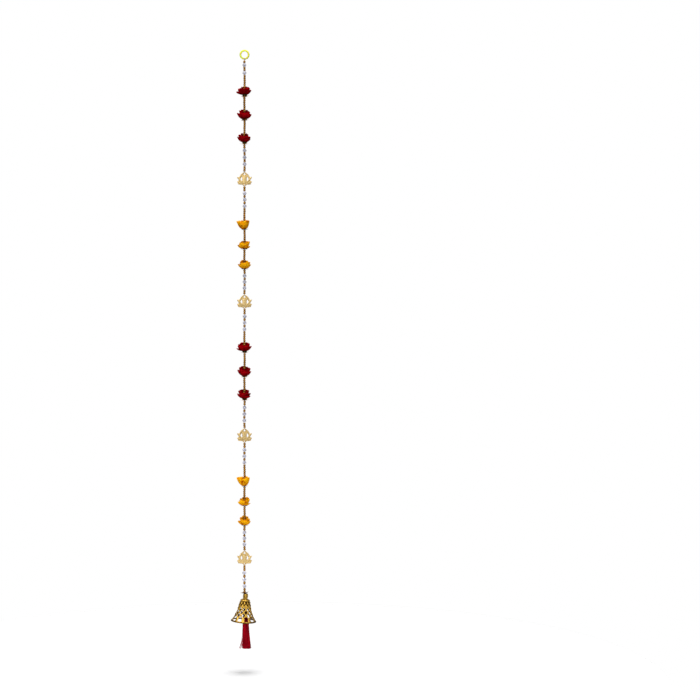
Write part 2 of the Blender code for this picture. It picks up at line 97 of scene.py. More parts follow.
# %% Grid to mesh
def quads_of(copies, rows, columns, wrap_rows, wrap_columns):
    """Corner numbers of each quad, and each corner's place on the grid as row and column counts."""
    index = np.arange(copies * rows * columns).reshape(copies, rows, columns)
    row, column = np.meshgrid(np.arange(rows + wrap_rows), np.arange(columns + wrap_columns), indexing="ij")
    if wrap_rows:
        index = np.concatenate([index, index[:, :1]], axis=1)
    if wrap_columns:
        index = np.concatenate([index, index[:, :, :1]], axis=2)
    place = np.broadcast_to(np.stack([row, column], axis=-1), (*index.shape, 2))

    def corners(of):
        four = [of[:, :-1, :-1], of[:, :-1, 1:], of[:, 1:, 1:], of[:, 1:, :-1]]
        return np.stack(four, axis=3)

    return corners(index).reshape(-1, 4), corners(place).reshape(-1, 2)


def mesh_object(name, points, faces, smooth=True):
    """A mesh object from whole arrays of points and of faces with equal numbers of corners."""
    mesh = bpy.data.meshes.new(name)
    mesh.vertices.add(len(points))
    mesh.vertices.foreach_set("co", np.asarray(points, np.float32).ravel())
    mesh.loops.add(faces.size)
    mesh.loops.foreach_set("vertex_index", faces.astype(np.int32).ravel())
    mesh.polygons.add(len(faces))
    mesh.polygons.foreach_set("loop_start", np.arange(0, faces.size, faces.shape[1], dtype=np.int32))
    mesh.polygons.foreach_set("use_smooth", np.full(len(faces), smooth))
    mesh.update(calc_edges=True)
    obj = bpy.data.objects.new(name, mesh)
    bpy.context.scene.collection.objects.link(obj)
    return obj


def grid_object(name, grid, wrap_rows=False, wrap_columns=False, smooth=True, size=(1.0, 1.0)):
    """A surface from points of shape (copies, rows, columns, 3). size is the texture's length each way."""
    copies, rows, columns = grid.shape[:3]
    faces, place = quads_of(copies, rows, columns, wrap_rows, wrap_columns)
    obj = mesh_object(name, grid.reshape(-1, 3), faces, smooth)
    steps = np.array([rows - 1 + wrap_rows, columns - 1 + wrap_columns])
    layer = obj.data.uv_layers.new(name="UVMap")
    layer.data.foreach_set("uv", (place / steps * size).astype(np.float32).ravel())
    return obj


print("quads of a 3 by 3 grid:", len(quads_of(1, 3, 3, False, False)[0]))

# %% [markdown]
# ## Closed shells and dressing
#
# A tube or a ball made as a grid has a small open ring at each end. Filling these rings closes its shell,
# and then Blender can tell inside from outside and turn every face outward. A finished piece gets its
# material and its body, and the solids that it stands for are hidden. A number stored on each point can
# steer a material.

# %% Closed shells
def close_shells(obj, merge=0.0):
    """Merges points within merge of each other, fills every open ring, then turns all faces outward."""
    shell = bmesh.new()
    shell.from_mesh(obj.data)
    if merge:
        bmesh.ops.remove_doubles(shell, verts=shell.verts, dist=merge)
    bmesh.ops.holes_fill(shell, edges=[edge for edge in shell.edges if edge.is_boundary])
    bmesh.ops.recalc_face_normals(shell, faces=shell.faces)
    shell.to_mesh(obj.data)
    shell.free()
    return obj


def points_of(mesh):
    """The mesh's points as an array of shape (points, 3)."""
    flat = np.zeros(len(mesh.vertices) * 3, np.float32)
    mesh.vertices.foreach_get("co", flat)
    return flat.reshape(-1, 3)


def paint(obj, name, values):
    """Stores one number for each point, or the same one for all, which a material can read by name."""
    layer = obj.data.attributes.new(name, "FLOAT", "POINT")
    layer.data.foreach_set("value", np.full(len(obj.data.vertices), values, np.float32))


def dress(obj, material, nodes=()):
    """Gives a finished piece its material and its body, and hides the solids that it stands for."""
    obj.data.materials.append(material)
    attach(obj, "root")
    if nodes:
        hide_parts(*nodes)
    return obj


print("pieces ride on the body: root")

# %% [markdown]
# ## Materials as expressions
#
# A material is a small formula over the surface. The class Value wraps one output of a node and overloads
# the operators, so `hollow + blotches * 1.1` adds its Math nodes by itself, also where a plain number comes
# first.

# %% Value
class Value:
    """One node output. Arithmetic on it adds Math nodes."""

    def __init__(self, nodes, socket):
        self.nodes = nodes
        self.socket = socket

    def math(self, operation, first, second=0.0):
        return self.nodes.add("ShaderNodeMath", {"operation": operation}, {0: first, 1: second})

    def __add__(self, other):
        return self.math("ADD", self, other)

    def __radd__(self, other):
        return self.math("ADD", other, self)

    def __sub__(self, other):
        return self.math("SUBTRACT", self, other)

    def __rsub__(self, other):
        return self.math("SUBTRACT", other, self)

    def __mul__(self, other):
        return self.math("MULTIPLY", self, other)

    def __rmul__(self, other):
        return self.math("MULTIPLY", other, self)

    def __abs__(self):
        return self.math("ABSOLUTE", self)


print("Value knows:", [name for name in dir(Value) if name in ("__add__", "__sub__", "__mul__", "__abs__")])

# %% [markdown]
# Nodes holds a node tree and adds every other kind of node with one method. Two kinds are used so often that
# they get a short method of their own: a mix of two colours, and a range that is stretched from 0 to 1.

# %% Nodes
class Nodes:
    """A node tree, with one method that adds any node to it."""

    def __init__(self, tree):
        self.tree = tree

    def put(self, node, sockets):
        """Links values to a node's sockets, and sets the sockets that get plain numbers or colours."""
        for key, value in sockets.items():
            socket = node.inputs[key]
            if isinstance(value, Value):
                self.tree.links.new(value.socket, socket)
            elif isinstance(value, tuple) and len(value) == 3 and socket.type == "RGBA":
                socket.default_value = (*value, 1.0)
            else:
                socket.default_value = value

    def add(self, kind, settings=None, sockets=None, output=0):
        """Adds a node: settings first, with stops for a ramp, then values or links for its sockets."""
        node = self.tree.nodes.new(kind)
        for key, value in (settings or {}).items():
            if key != "stops":
                setattr(node, key, value)
                continue
            for element, (position, colour) in zip(node.color_ramp.elements, value):
                element.position = position
                element.color = (*colour, 1.0)
        self.put(node, sockets or {})
        return Value(self, node.outputs[output])

    def blend(self, mask, first, second):
        """A mix of two colours. The Mix node has several sockets called A and B, so they go by number."""
        return self.add("ShaderNodeMix", {"data_type": "RGBA"}, {0: mask, 6: first, 7: second}, 2)

    def ranged(self, value, start, end):
        """0 up to start, 1 from end on, and even in between."""
        return self.add("ShaderNodeMapRange", None, {"Value": value, "From Min": start, "From Max": end})


print("short ways to add a node:", Nodes.blend.__name__, Nodes.ranged.__name__)

# %% [markdown]
# Finish is a node tree with a Principled shader at its end. Numbers that stay the same all over go straight
# on the shader's own sockets. What changes over the surface feeds its colour, its roughness and a bump.

# %% Finish
class Finish(Nodes):
    """A material. Its named arguments are sockets of the shader, with _ for a space."""

    def __init__(self, name, **sockets):
        self.material = bpy.data.materials.new(name)
        self.material.use_nodes = True
        super().__init__(self.material.node_tree)
        self.shader = self.tree.nodes["Principled BSDF"]
        self.put(self.shader, {key.replace("_", " "): value for key, value in sockets.items()})

    def coordinates(self, kind="Object"):
        return self.add("ShaderNodeTexCoord", output=kind)

    def noise(self, vector, scale, detail=3.0):
        sockets = {"Vector": vector, "Scale": scale, "Detail": detail, "Roughness": 0.6}
        return self.add("ShaderNodeTexNoise", None, sockets)

    def attribute(self, name):
        return self.add("ShaderNodeAttribute", {"attribute_name": name}, None, "Fac")

    def stretched(self, vector, scale):
        return self.add("ShaderNodeMapping", None, {"Vector": vector, "Scale": scale})

    def finished(self, colour, roughness, height=None, strength=0.0, distance=0.0):
        """Feeds the shader, with a bump where a height is given, and gives back the material."""
        self.put(self.shader, {"Base Color": colour, "Roughness": roughness})
        if height:
            sockets = {"Height": height, "Strength": strength, "Distance": distance}
            self.put(self.shader, {"Normal": self.add("ShaderNodeBump", None, sockets)})
        return self.material


print("finish ready")

# %% [markdown]
# ## The metals
#
# Three golds show in the photo. The small beads and caps are a brown antique gold. The lotus plates are
# pale and bright, with painted shade along their cut edges, in their grooves and over their backs. The bell
# is yellow gold, dark brown in its hollows: partly the patina of cast openwork that was darkened and then
# wiped, partly painted shade where the metal lies deep or looks inward. The shapes below store how deep
# each point lies, and the bell and the plates read that number, so the dark colour sits where a cloth could
# not reach.

# %% Gold finishes
def bead_gold(name, dark, light):
    finish = Finish(name, Metallic=1.0)
    place = finish.coordinates()
    blotches = finish.noise(place, 260.0)
    grain = finish.noise(place, 2600.0, 2.0)
    return finish.finished(finish.blend(blotches, dark, light), 0.42 + grain * 0.25, grain, 0.25, 0.08 * MM)


def plate_gold(name, dark, plain, bright):
    finish = Finish(name, Metallic=1.0)
    # "edge" carries painted shade: darker along the rims, in the grooves and over the whole back.
    edge = finish.attribute("edge")
    grain = finish.noise(finish.coordinates(), 1500.0)
    colour = finish.blend(edge, finish.blend(grain, plain, bright), dark)
    return finish.finished(colour, 0.32 + grain * 0.2 + edge * 0.15, grain, 0.2, 0.08 * MM)


def bell_gold(name, dark, plain, bright):
    finish = Finish(name, Metallic=1.0)
    place = finish.coordinates()
    blotches = finish.noise(place, 240.0, 4.0)
    grain = finish.noise(place, 1300.0)
    # Patina and painted shade from the stored "hollow", broken up by random blotches.
    patina_and_shade = finish.ranged(finish.attribute("hollow") + blotches * 1.1 - 0.52, 0.02, 0.56)
    colour = finish.blend(patina_and_shade, finish.blend(blotches, plain, bright), dark)
    return finish.finished(colour, 0.23 + grain * 0.2 + patina_and_shade * 0.2, grain, 0.35, 0.12 * MM)


gold_finish = bead_gold("antique gold", (0.22, 0.09, 0.012), (0.64, 0.33, 0.07))
dark_gold_finish = bead_gold("dark antique gold", (0.06, 0.028, 0.008), (0.26, 0.13, 0.04))
plate_finish = plate_gold("pale stamped gold", (0.42, 0.24, 0.05), (0.83, 0.58, 0.22), (0.93, 0.71, 0.34))
bell_finish = bell_gold("cast yellow gold", (0.06, 0.025, 0.003), (0.64, 0.35, 0.04), (0.93, 0.6, 0.12))
print("metals:", gold_finish.name, dark_gold_finish.name, plate_finish.name, bell_finish.name)

# %% [markdown]
# ## Plastic and crystal
#
# The ring is a translucent yellow-green moulding, so light passes a little way into it. The clear beads are
# glass with a faint lilac tint. Both are cloudy by a few percent, because nothing moulded is quite even.

# %% Plastic and glass
def cloudy(name, scale, plain, pale, smooth, rough, **sockets):
    finish = Finish(name, **sockets)
    cloud = finish.noise(finish.coordinates(), scale)
    return finish.finished(finish.blend(cloud, plain, pale), smooth + cloud * rough)


plastic_finish = cloudy("lime plastic", scale=180.0, plain=(0.86, 0.94, 0.06), pale=(0.94, 0.99, 0.1),
                        smooth=0.2, rough=0.12, IOR=1.47, Transmission_Weight=0.15, Subsurface_Weight=0.4,
                        Subsurface_Scale=2 * MM, Specular_IOR_Level=0.3)
glass_finish = cloudy("lilac clear glass", scale=150.0, plain=(0.7, 0.7, 0.82), pale=(0.86, 0.86, 0.95),
                      smooth=0.03, rough=0.06, IOR=1.5, Transmission_Weight=0.55, Coat_Weight=0.3)
print("clear ones:", plastic_finish.name, glass_finish.name)

# %% [markdown]
# ## Cloth
#
# Cloth gets a fine over-and-under weave along each petal's own texture coordinates, with a soft sheen.
# Darker marks here and there are painted shade of folds, laid at random by a noise, and a painted shade
# darkens each petal towards its root, deep in the cup. The stored number "height" is 0 at the root and 1
# at the tip.

# %% Petal cloth
THREADS_PER_METRE = 2800.0
FOLD_SHADE = 0.85


def petal_cloth(name, deep, plain, lit, fold_shade_colour, sheen):
    finish = Finish(name, Sheen_Weight=sheen, Sheen_Roughness=0.45, Sheen_Tint=lit, Specular_IOR_Level=0.0)
    place = finish.coordinates()
    cloud = finish.noise(place, 210.0, 4.0)
    sockets = {"Vector": finish.coordinates("UV"), "Scale": THREADS_PER_METRE / 3, "Distortion": 1.5}
    over, under = [finish.add("ShaderNodeTexWave", {"wave_type": "BANDS", "bands_direction": way}, sockets)
                   for way in "XY"]
    # Painted shade of folds: darker marks here and there, laid at random by a noise.
    fold_shade_spots = finish.ranged(finish.noise(place, 130.0, 2.0), 0.54, 0.61)
    body = finish.blend(fold_shade_spots * FOLD_SHADE, finish.blend(cloud, plain, lit), fold_shade_colour)
    # Painted shade: the deep colour at the root, inside the cup, the body colour towards the tip.
    colour = finish.blend(finish.attribute("height") + cloud * 0.4 - 0.2, deep, body)
    weave = over * 0.5 + under * 0.5 + cloud * 1.5
    return finish.finished(colour, 0.72 + cloud * 0.2, weave, 0.5, 0.12 * MM)


red_finish = petal_cloth("red petal cloth", deep=(0.05, 0.0, 0.001), plain=(0.28, 0.0, 0.003),
                         lit=(0.46, 0.002, 0.006), fold_shade_colour=(0.15, 0.0, 0.002), sheen=0.3)
orange_finish = petal_cloth("orange petal cloth", deep=(0.5, 0.11, 0.001), plain=(1.0, 0.4, 0.001),
                            lit=(1.0, 0.62, 0.01), fold_shade_colour=(0.42, 0.05, 0.001), sheen=0.25)
calyx_finish = petal_cloth("olive calyx cloth", deep=(0.008, 0.01, 0.004), plain=(0.02, 0.026, 0.008),
                           lit=(0.05, 0.05, 0.018), fold_shade_colour=(0.03, 0.02, 0.006), sheen=0.1)
print("cloths:", red_finish.name, orange_finish.name, calyx_finish.name)

# %% [markdown]
# ## Spun thread
#
# Thread has fibres that run along it, which is what makes a silky tassel glint in streaks. A noise that is
# stretched along each thread gives the fibres. A second one, stretched down the whole hank, gathers the
# threads in lighter and darker locks. Inside the bell little light comes in, so the tassel darkens there by
# "height".

# %% Thread finishes
def spun_thread(name, dark, light, streaks, shaded=False):
    finish = Finish(name, Sheen_Weight=0.4, Sheen_Roughness=0.3, Sheen_Tint=light, Specular_IOR_Level=0.04)
    fibre = finish.noise(finish.stretched(finish.coordinates("UV"), (streaks, 60.0, 1.0)), 5.0)
    locks = finish.noise(finish.stretched(finish.coordinates(), (1.0, 1.0, 0.1)), 380.0, 2.0)
    streak = finish.ranged(fibre * 0.3 + locks * 0.7, 0.36, 0.6)
    if shaded:
        streak = streak * finish.attribute("height")
    return finish.finished(finish.blend(streak, dark, light), 0.4 + fibre * 0.25, fibre, 0.6, 0.1 * MM)


tassel_finish = spun_thread("red silky thread", (0.03, 0.0, 0.002), (0.52, 0.001, 0.011), 8.0, shaded=True)
string_finish = spun_thread("white thread", (0.55, 0.5, 0.42), (0.82, 0.8, 0.74), 30.0)
print("threads:", tassel_finish.name, string_finish.name)

# %% [markdown]
# ## The thread's own line
#
# A strand of beads is never quite straight: each bead sits a little to one side. Everything on the thread
# follows one slow wave, a quarter of a millimetre wide, so the beads and the thread stay together. Thread,
# ribs and tassel are all a section carried along a path, so one function serves them. Knot, domes, stars
# and the tassel's head are turned shapes, and a second function places their points round the upright axis.

# %% The thread's line
def thread_line(height):
    """Points on the thread at given heights: each way sideways is a sum of two sine waves of the height."""
    across = 0.22 * np.sin(height * 95.0) + 0.1 * np.sin(height * 610.0 + 1.0)
    deep = 0.2 * np.sin(height * 120.0 + 2.0) + 0.08 * np.sin(height * 530.0)
    return np.stack([across * MM, deep * MM, height], axis=-1)


def unit(vectors):
    return vectors / np.maximum(np.linalg.norm(vectors, axis=-1, keepdims=True), 1e-9)


def carried(path, section, face=(0.0, -1.0, 0.0)):
    """A section carried along paths: path is (copies, rows, 3), section is (columns, 2) or one for each row.

    The tangent is the change along the path. The section's first axis is the tangent crossed with the way
    that the path faces, and its second is square to both. Each point is path + first * a + second * b."""
    tangent = unit(np.gradient(path, axis=1))
    first = unit(np.cross(tangent, face))
    second = np.cross(first, tangent)
    return (path[..., None, :] + first[..., None, :] * section[..., 0, None]
            + second[..., None, :] * section[..., 1, None])


def circle(count):
    turn = np.arange(count) * 2 * np.pi / count
    return np.stack([np.cos(turn), np.sin(turn)], axis=-1)


def round_axis(radius, angle, height):
    """A grid of points from arrays of radius, angle and height about the upright axis."""
    return np.stack([radius * np.cos(angle), radius * np.sin(angle), height + 0 * angle], axis=-1)[None]


print("line at the ring:", thread_line(np.array([-0.014])).round(5))

# %% [markdown]
# ## The hanging ring
#
# A moulded ring is a circle carried round a circle. A real one has a faint parting line all round its
# middle, where the two halves of the mould met, so the section's radius gets a small ridge there.

# %% Hanging ring
low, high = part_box("hanging_ring")
RING_CENTRE = (low.z + high.z) / 2
RING_TUBE = 1.5 * MM
RING_MIDDLE = (high.z - low.z) / 2 - RING_TUBE
RING_FOOT = RING_CENTRE - RING_MIDDLE - RING_TUBE


def ring_grid(around=96, across=28):
    """Centre circle in the plane of the front, and a circular section with a low ridge on its outer side."""
    turn = np.arange(around)[:, None] * 2 * np.pi / around
    tilt = np.arange(across)[None, :] * 2 * np.pi / across
    tube = RING_TUBE * (1 + 0.05 * np.exp(-((np.sin(tilt / 2) / 0.09) ** 2)))
    reach = RING_MIDDLE + tube * np.cos(tilt)
    grid = [reach * np.cos(turn), tube * np.sin(tilt) + 0 * turn, RING_CENTRE + reach * np.sin(turn)]
    return np.stack(grid, axis=-1)[None]


ring = close_shells(grid_object("ring", ring_grid(), True, True))
dress(ring, plastic_finish, ["hanging_ring"])
print("ring points:", len(ring.data.vertices))

# %% [markdown]
# ## The thread
#
# Two thin plies twist round each other. The thread loops over the ring's lowest point, is knotted under it,
# and runs down through the beads and flowers to the first lotus plate. It is tied to the plate's upper eye
# and starts again from the lower one, so that nothing crosses the plate. The last stretch ends in the
# tassel's head.

# %% Twisted thread
PLY = 0.2 * MM
PLY_RADIUS = 1.1 * PLY
TURNS_PER_METRE = 690.0
TIED_ABOVE = 0.8 * MM
TIED_BELOW = 0.9 * MM


def stretches():
    """(top, bottom) of each stretch of thread: ring to plate, plate to plate, and plate to tassel."""
    plates = [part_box(f"lotus_{band}") for band in BANDS]
    tops = [RING_FOOT - GAP] + [low.z - TIED_BELOW for low, high in plates]
    bottoms = [high.z + TIED_ABOVE for low, high in plates] + [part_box("tassel")[1].z + GAP]
    return list(zip(tops, bottoms))


def two_plies(spans, rows):
    """Two thin tubes on a double helix: each ply's centre is the line plus a small circle that turns."""
    plies = []
    for top, bottom in spans:
        height = np.linspace(top, bottom, rows)
        for phase in (0.0, np.pi):
            turn = TURNS_PER_METRE * 2 * np.pi * height + phase
            beside = np.stack([np.cos(turn), np.sin(turn), 0 * turn], axis=-1)
            plies.append(thread_line(height) + PLY * beside)
    return carried(np.stack(plies), circle(5) * PLY_RADIUS)


thread = grid_object("thread", two_plies(stretches(), 800), wrap_columns=True, size=(0.2, 0.002))
dress(close_shells(thread), string_finish)
print("stretches of thread:", np.round(stretches(), 3).tolist())

# %% [markdown]
# Three turns of the thread lie side by side round the ring's lowest stretch. Their paths face away from the
# middle of the ring's tube, because a path that turns all the way round has no one side that it looks to.

# %% Loops on the ring
RING_LOOPS = 3
LOOP_STEP = 0.5 * MM
LOOP_RADIUS = 0.27 * MM


def loop_grid(rows=80):
    """Circles round the ring's tube, side by side and a little taller than wide, with a round section."""
    turn = np.linspace(0.0, 2 * np.pi, rows)
    aside = (np.arange(RING_LOOPS) - (RING_LOOPS - 1) / 2)[:, None] * LOOP_STEP + 0 * turn
    outward = np.stack([0 * aside, np.sin(turn) + 0 * aside, -1.06 * np.cos(turn) + 0 * aside], axis=-1)
    middle = np.stack([aside, 0 * aside, RING_FOOT + RING_TUBE + 0 * aside], axis=-1)
    return carried(middle + outward * (RING_TUBE + 0.32 * MM), circle(8) * LOOP_RADIUS, outward)


loops = grid_object("thread_loops", loop_grid(), wrap_columns=True, size=(0.01, 0.002))
dress(close_shells(loops), string_finish)
print("loops on the ring:", RING_LOOPS)

# %% [markdown]
# At this size a knot is a small ball with slanting ridges, where the turns of the thread cross it.

# %% Knot
KNOT_RADIUS = 0.75 * MM


def knot_grid(rows=18, columns=24):
    """A ball whose radius has slanting ridges. It stops a little short of both poles, which are filled."""
    up = np.linspace(-0.5 * np.pi + 0.05, 0.5 * np.pi - 0.05, rows)[:, None]
    turn = np.arange(columns)[None, :] * 2 * np.pi / columns
    size = KNOT_RADIUS * (1 + 0.12 * np.sin(3 * turn + 5 * up))
    return round_axis(size * np.cos(up), turn, RING_FOOT - KNOT_RADIUS + size * np.sin(up))


knot = grid_object("thread_knot", knot_grid(), wrap_columns=True, size=(0.004, 0.004))
dress(close_shells(knot), string_finish)
print("knot under the ring at", round(RING_FOOT - KNOT_RADIUS, 4))

# %% [markdown]
# ## Beads
#
# A small pressed bead is a round body with a hole through it: its section is a closed loop, an outer arc
# and a hole wall, turned about the thread. Every bead gets its own size, turn and tilt, within a few
# percent and degrees, because a row of equal copies looks like a machined rod. All the beads of a run are
# one array. A clear bead is cut, so its section is a few straight facets, it is turned in ten steps, and it
# is shaded flat.

# %% Bead shapes
GOLD_PITCH = 3.5 * MM
GOLD_RADIUS = 2.05 * MM
SPACER_RADIUS = 2.0 * MM
CLEAR_RADIUS = 3.25 * MM
CLEAR_LENGTH = 6.2 * MM
BEAD_TILT = 0.09


def round_section(rows=12):
    """(radius, height) round a bead's section, of half height 1 and radius 1: an outer arc, then the hole."""
    arc = np.linspace(-0.43 * np.pi, 0.43 * np.pi, rows)
    outside = np.stack([0.42 + 0.58 * np.cos(arc), np.sin(arc) / np.sin(arc[-1])], axis=-1)
    hole = np.array([[0.34, 0.93], [0.3, 0.5], [0.3, -0.5], [0.34, -0.93]])
    return np.concatenate([outside, hole])


def faceted_section():
    """(radius, height) round a cut bead: girdle, two rows of facets to each end, and the hole's wall."""
    half = np.array([[1.0, 0.16], [0.8, 0.56], [0.42, 0.97], [0.2, 0.9]])
    return np.concatenate([half, half[::-1] * (1, -1)])


def beads_grid(section, columns, tops, bottoms, radius, loose=0.04):
    """Beads between tops and bottoms: each is the section turned about its own tilted axis, on the line."""
    count = len(tops)
    half = (tops - bottoms) / 2 * 0.99
    size = radius * (1 + draw.uniform(-loose, loose, count))
    turn = np.arange(columns) * 2 * np.pi / columns + draw.uniform(0, 2 * np.pi, count)[:, None]
    reach = section[None, :, 0, None] * size[:, None, None]
    across = reach * np.cos(turn)[:, None, :]
    deep = reach * np.sin(turn)[:, None, :]
    up = section[None, :, 1, None] * half[:, None, None] + 0 * across
    tilt = draw.uniform(-BEAD_TILT, BEAD_TILT, (2, count))[:, :, None, None]
    height = up - across * tilt[0] - deep * tilt[1]
    points = np.stack([across + up * tilt[0], deep + up * tilt[1], height], axis=-1)
    return points + thread_line((tops + bottoms) / 2)[:, None, None, :]


print("bead sections:", round_section().shape, faceted_section().shape)

# %% [markdown]
# Even beads fill a stretch of thread: their number is the stretch's length over the usual pitch, rounded,
# and the pitch then gives way a little. Cut beads keep their length, and what is left between them is for
# spacers.

# %% Runs of beads
def split(top, bottom):
    """Even bead places between two heights, as an array of tops and one of bottoms."""
    count = max(1, round((top - bottom) / GOLD_PITCH))
    edges = np.linspace(top, bottom, count + 1)
    return edges[:-1], edges[1:]


def gold_beads(name, spans, radius=GOLD_RADIUS, nodes=()):
    """One piece of gold beads from a list of (top, bottom) spans, each split into beads."""
    tops, bottoms = (np.concatenate(ends) for ends in zip(*[split(*span) for span in spans]))
    grid = beads_grid(round_section(), 20, tops, bottoms, radius)
    beads = grid_object(name, grid, True, True, size=(0.01, 0.01))
    dress(close_shells(beads), gold_finish, nodes)
    return len(tops)


def clear_beads(name, node, top, bottom, count):
    """Cut glass beads in place of one turned solid. It gives back the spans of the spacers between them."""
    spacer = (top - bottom - count * CLEAR_LENGTH) / (count - 1)
    starts = top - np.arange(count) * (CLEAR_LENGTH + spacer)
    grid = beads_grid(faceted_section(), 10, starts, starts - CLEAR_LENGTH, CLEAR_RADIUS, 0.02)
    clear = grid_object(name, grid, True, True, smooth=False, size=(0.01, 0.01))
    dress(close_shells(clear), glass_finish, [node])
    gaps = starts[:-1] - CLEAR_LENGTH
    return [(gap, gap - spacer) for gap in gaps]


print("beads in 30 mm:", len(split(30 * MM, 0.0)[0]))

# %% [markdown]
# ## Stringing the runs
#
# The solids give each run's ends. Inside a long run the beads stop in the cup of each flower and start
# again below its cap, and only the thread goes through the cloth. The run under the ring starts with one
# gold bead. The last one ends in the bell's cap.

# %% String the beads
CUP_FLOOR = 4.6 * MM
UNDER_KNOT = 1.4 * MM
FIRST_BEAD = 4.2 * MM
INTO_CAP = 0.9 * MM


def run_spans(band):
    """(top, bottom) of each stretch of gold beads between the flowers of one band."""
    low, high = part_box(f"gold_run_{band}")
    spans = []
    top = high.z
    for place in FLOWERS:
        spans.append((top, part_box(f"flower_{band}_{place}")[0].z + CUP_FLOOR + GAP))
        under = f"cap_{band}_{place}" if band % 2 else f"calyx_{band}_{place}"
        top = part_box(under)[0].z - GAP
    return spans + [(top, low.z)]


def string_band(band):
    """One band's run between its flowers, and the two short runs with clear beads beside its plate."""
    count = gold_beads(f"beads_run_{band}", run_spans(band), nodes=[f"gold_run_{band}"])
    for side in ("above", "below"):
        low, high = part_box(f"gold_{side}_{band}")
        count += gold_beads(f"beads_{side}_{band}", [(high.z, low.z)], nodes=[f"gold_{side}_{band}"])
        node = f"clear_{side}_{band}"
        low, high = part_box(node)
        spacers = clear_beads(f"crystals_{side}_{band}", node, high.z, low.z, count=3)
        count += gold_beads(f"spacers_{side}_{band}", spacers, SPACER_RADIUS)
    return count


def string_ends():
    """The run under the ring, and the one above the bell."""
    low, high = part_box("clear_first")
    top = high.z - UNDER_KNOT
    spacers = clear_beads("crystals_first", "clear_first", top - FIRST_BEAD, low.z, count=2)
    count = gold_beads("spacers_first", [(top, top - FIRST_BEAD), *spacers], SPACER_RADIUS)
    last = (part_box("gold_last")[1].z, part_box("cap_bell")[0].z + INTO_CAP)
    return count + gold_beads("beads_last", [last], nodes=["gold_last"])


print("small gold beads:", sum(string_band(band) for band in BANDS) + string_ends())

# %% [markdown]
# ## Cloth flowers
#
# A flower of this kind is cut from dyed cloth in four layers, each a star of five petals with a hole for
# the thread. The layers are gathered on the thread one above another, so the petals stand up round it like
# a cup.
#
# The outer petals follow the photo: one row below gives each petal's direction, how far its tip reaches and
# how high it rises. The inner layers stand between them, each narrower, closer to the thread and nearer to
# the flower's full height, which fills the flower up towards its middle.

# %% Petal table
PETALS = {
    # azimuth in degrees (0 right, 270 front), reach in mm, rise in mm
    ("red", 1): ((5, 10.6, 8.6), (62, 7.6, 14.8), (122, 8.0, 14.0), (190, 13.2, 5.2), (234, 10.8, 7.6)),
    ("red", 2): ((55, 8.6, 15.0), (115, 6.6, 17.0), (182, 10.6, 10.8), (258, 8.4, 7.2), (338, 10.8, 8.4)),
    ("red", 3): ((12, 9.2, 9.8), (75, 6.6, 16.0), (132, 8.8, 14.8), (190, 11.2, 8.8), (314, 10.2, 4.8)),
    ("orange", 1): ((40, 7.8, 15.2), (105, 7.4, 15.2), (170, 12.2, 14.8), (228, 9.4, 8.4), (325, 7.6, 14.4)),
    ("orange", 2): ((35, 7.8, 13.6), (118, 6.2, 13.0), (192, 10.4, 7.0), (224, 9.0, 8.4), (330, 8.9, 4.6)),
    ("orange", 3): ((28, 8.4, 11.8), (100, 6.8, 15.4), (182, 9.8, 8.2), (262, 8.2, 6.8), (340, 9.8, 7.8)),
}
LAYERS = {
    # share of the reach, share of the way up to the full height, half width in mm, tip curl in mm
    "outer": (1.03, 0.0, 7.8, 0.5),
    "second": (0.92, 0.3, 7.2, 0.6),
    "third": (0.72, 0.62, 5.8, 0.5),
    "inner": (0.46, 0.9, 4.0, 0.3),
}


def petals_between(petals):
    """The directions halfway between neighbouring petals, with their mean reach and rise."""
    after = np.roll(petals, -1, axis=0)
    after[-1, 0] += 360
    return (petals + after) / 2


print("petals of the first red flower:", len(PETALS["red", 1]))

# %% [markdown]
# Each petal is a strip that runs from root to tip along a curve, wider towards its rounded end. The strip
# wraps round the flower's axis, its edges roll back, and soft waves run across it, so that no two petals
# are alike. The petals in front open lower than those behind, which lets the photo's view look a little
# into the cup.

# %% Petal surface
PETAL_ROOT = 1.5
FRONT_DROP = 0.55
SPOON = 2.4
WAVE = 0.7
RUFFLE = 0.45
EDGE_ROLL = 0.6
SIDE_LIFT = 0.5


def middle_line(t, reach, rise, curl):
    """Radius and height in mm along a petal's middle: a Bezier curve, level at the root and turning up."""
    start, bend, belly, tip = (1 - t) ** 3, 3 * t * (1 - t) ** 2, 3 * t * t * (1 - t), t**3
    radius = PETAL_ROOT * start + reach * 0.72 * bend + (reach * 1.02 + 0.6) * belly + (reach + curl) * tip
    return radius, 0.3 * bend + rise * 0.62 * belly + rise * tip


def petal_push(s, t, phase):
    """How far in mm each point leaves the smooth strip: waves, ruffle and rolled edge, less the spoon.

    s runs from side to side, -1 to 1, and t from root to tip, 0 to 1."""
    spoon = SPOON * s * s * np.sin(np.pi * np.minimum(t, 0.85) / 1.1)
    waves = WAVE * t**2 * np.sin(3.1 * s * (1 + 0.2 * np.sin(phase[0])) + phase[1] + 3 * t)
    ruffle = RUFFLE * t**3 * np.sin(10 * s + phase[2]) * np.abs(s) ** 0.5
    roll = EDGE_ROLL * t**4 * np.abs(s) ** 4 + SIDE_LIFT * s * t
    return waves + ruffle + roll - spoon


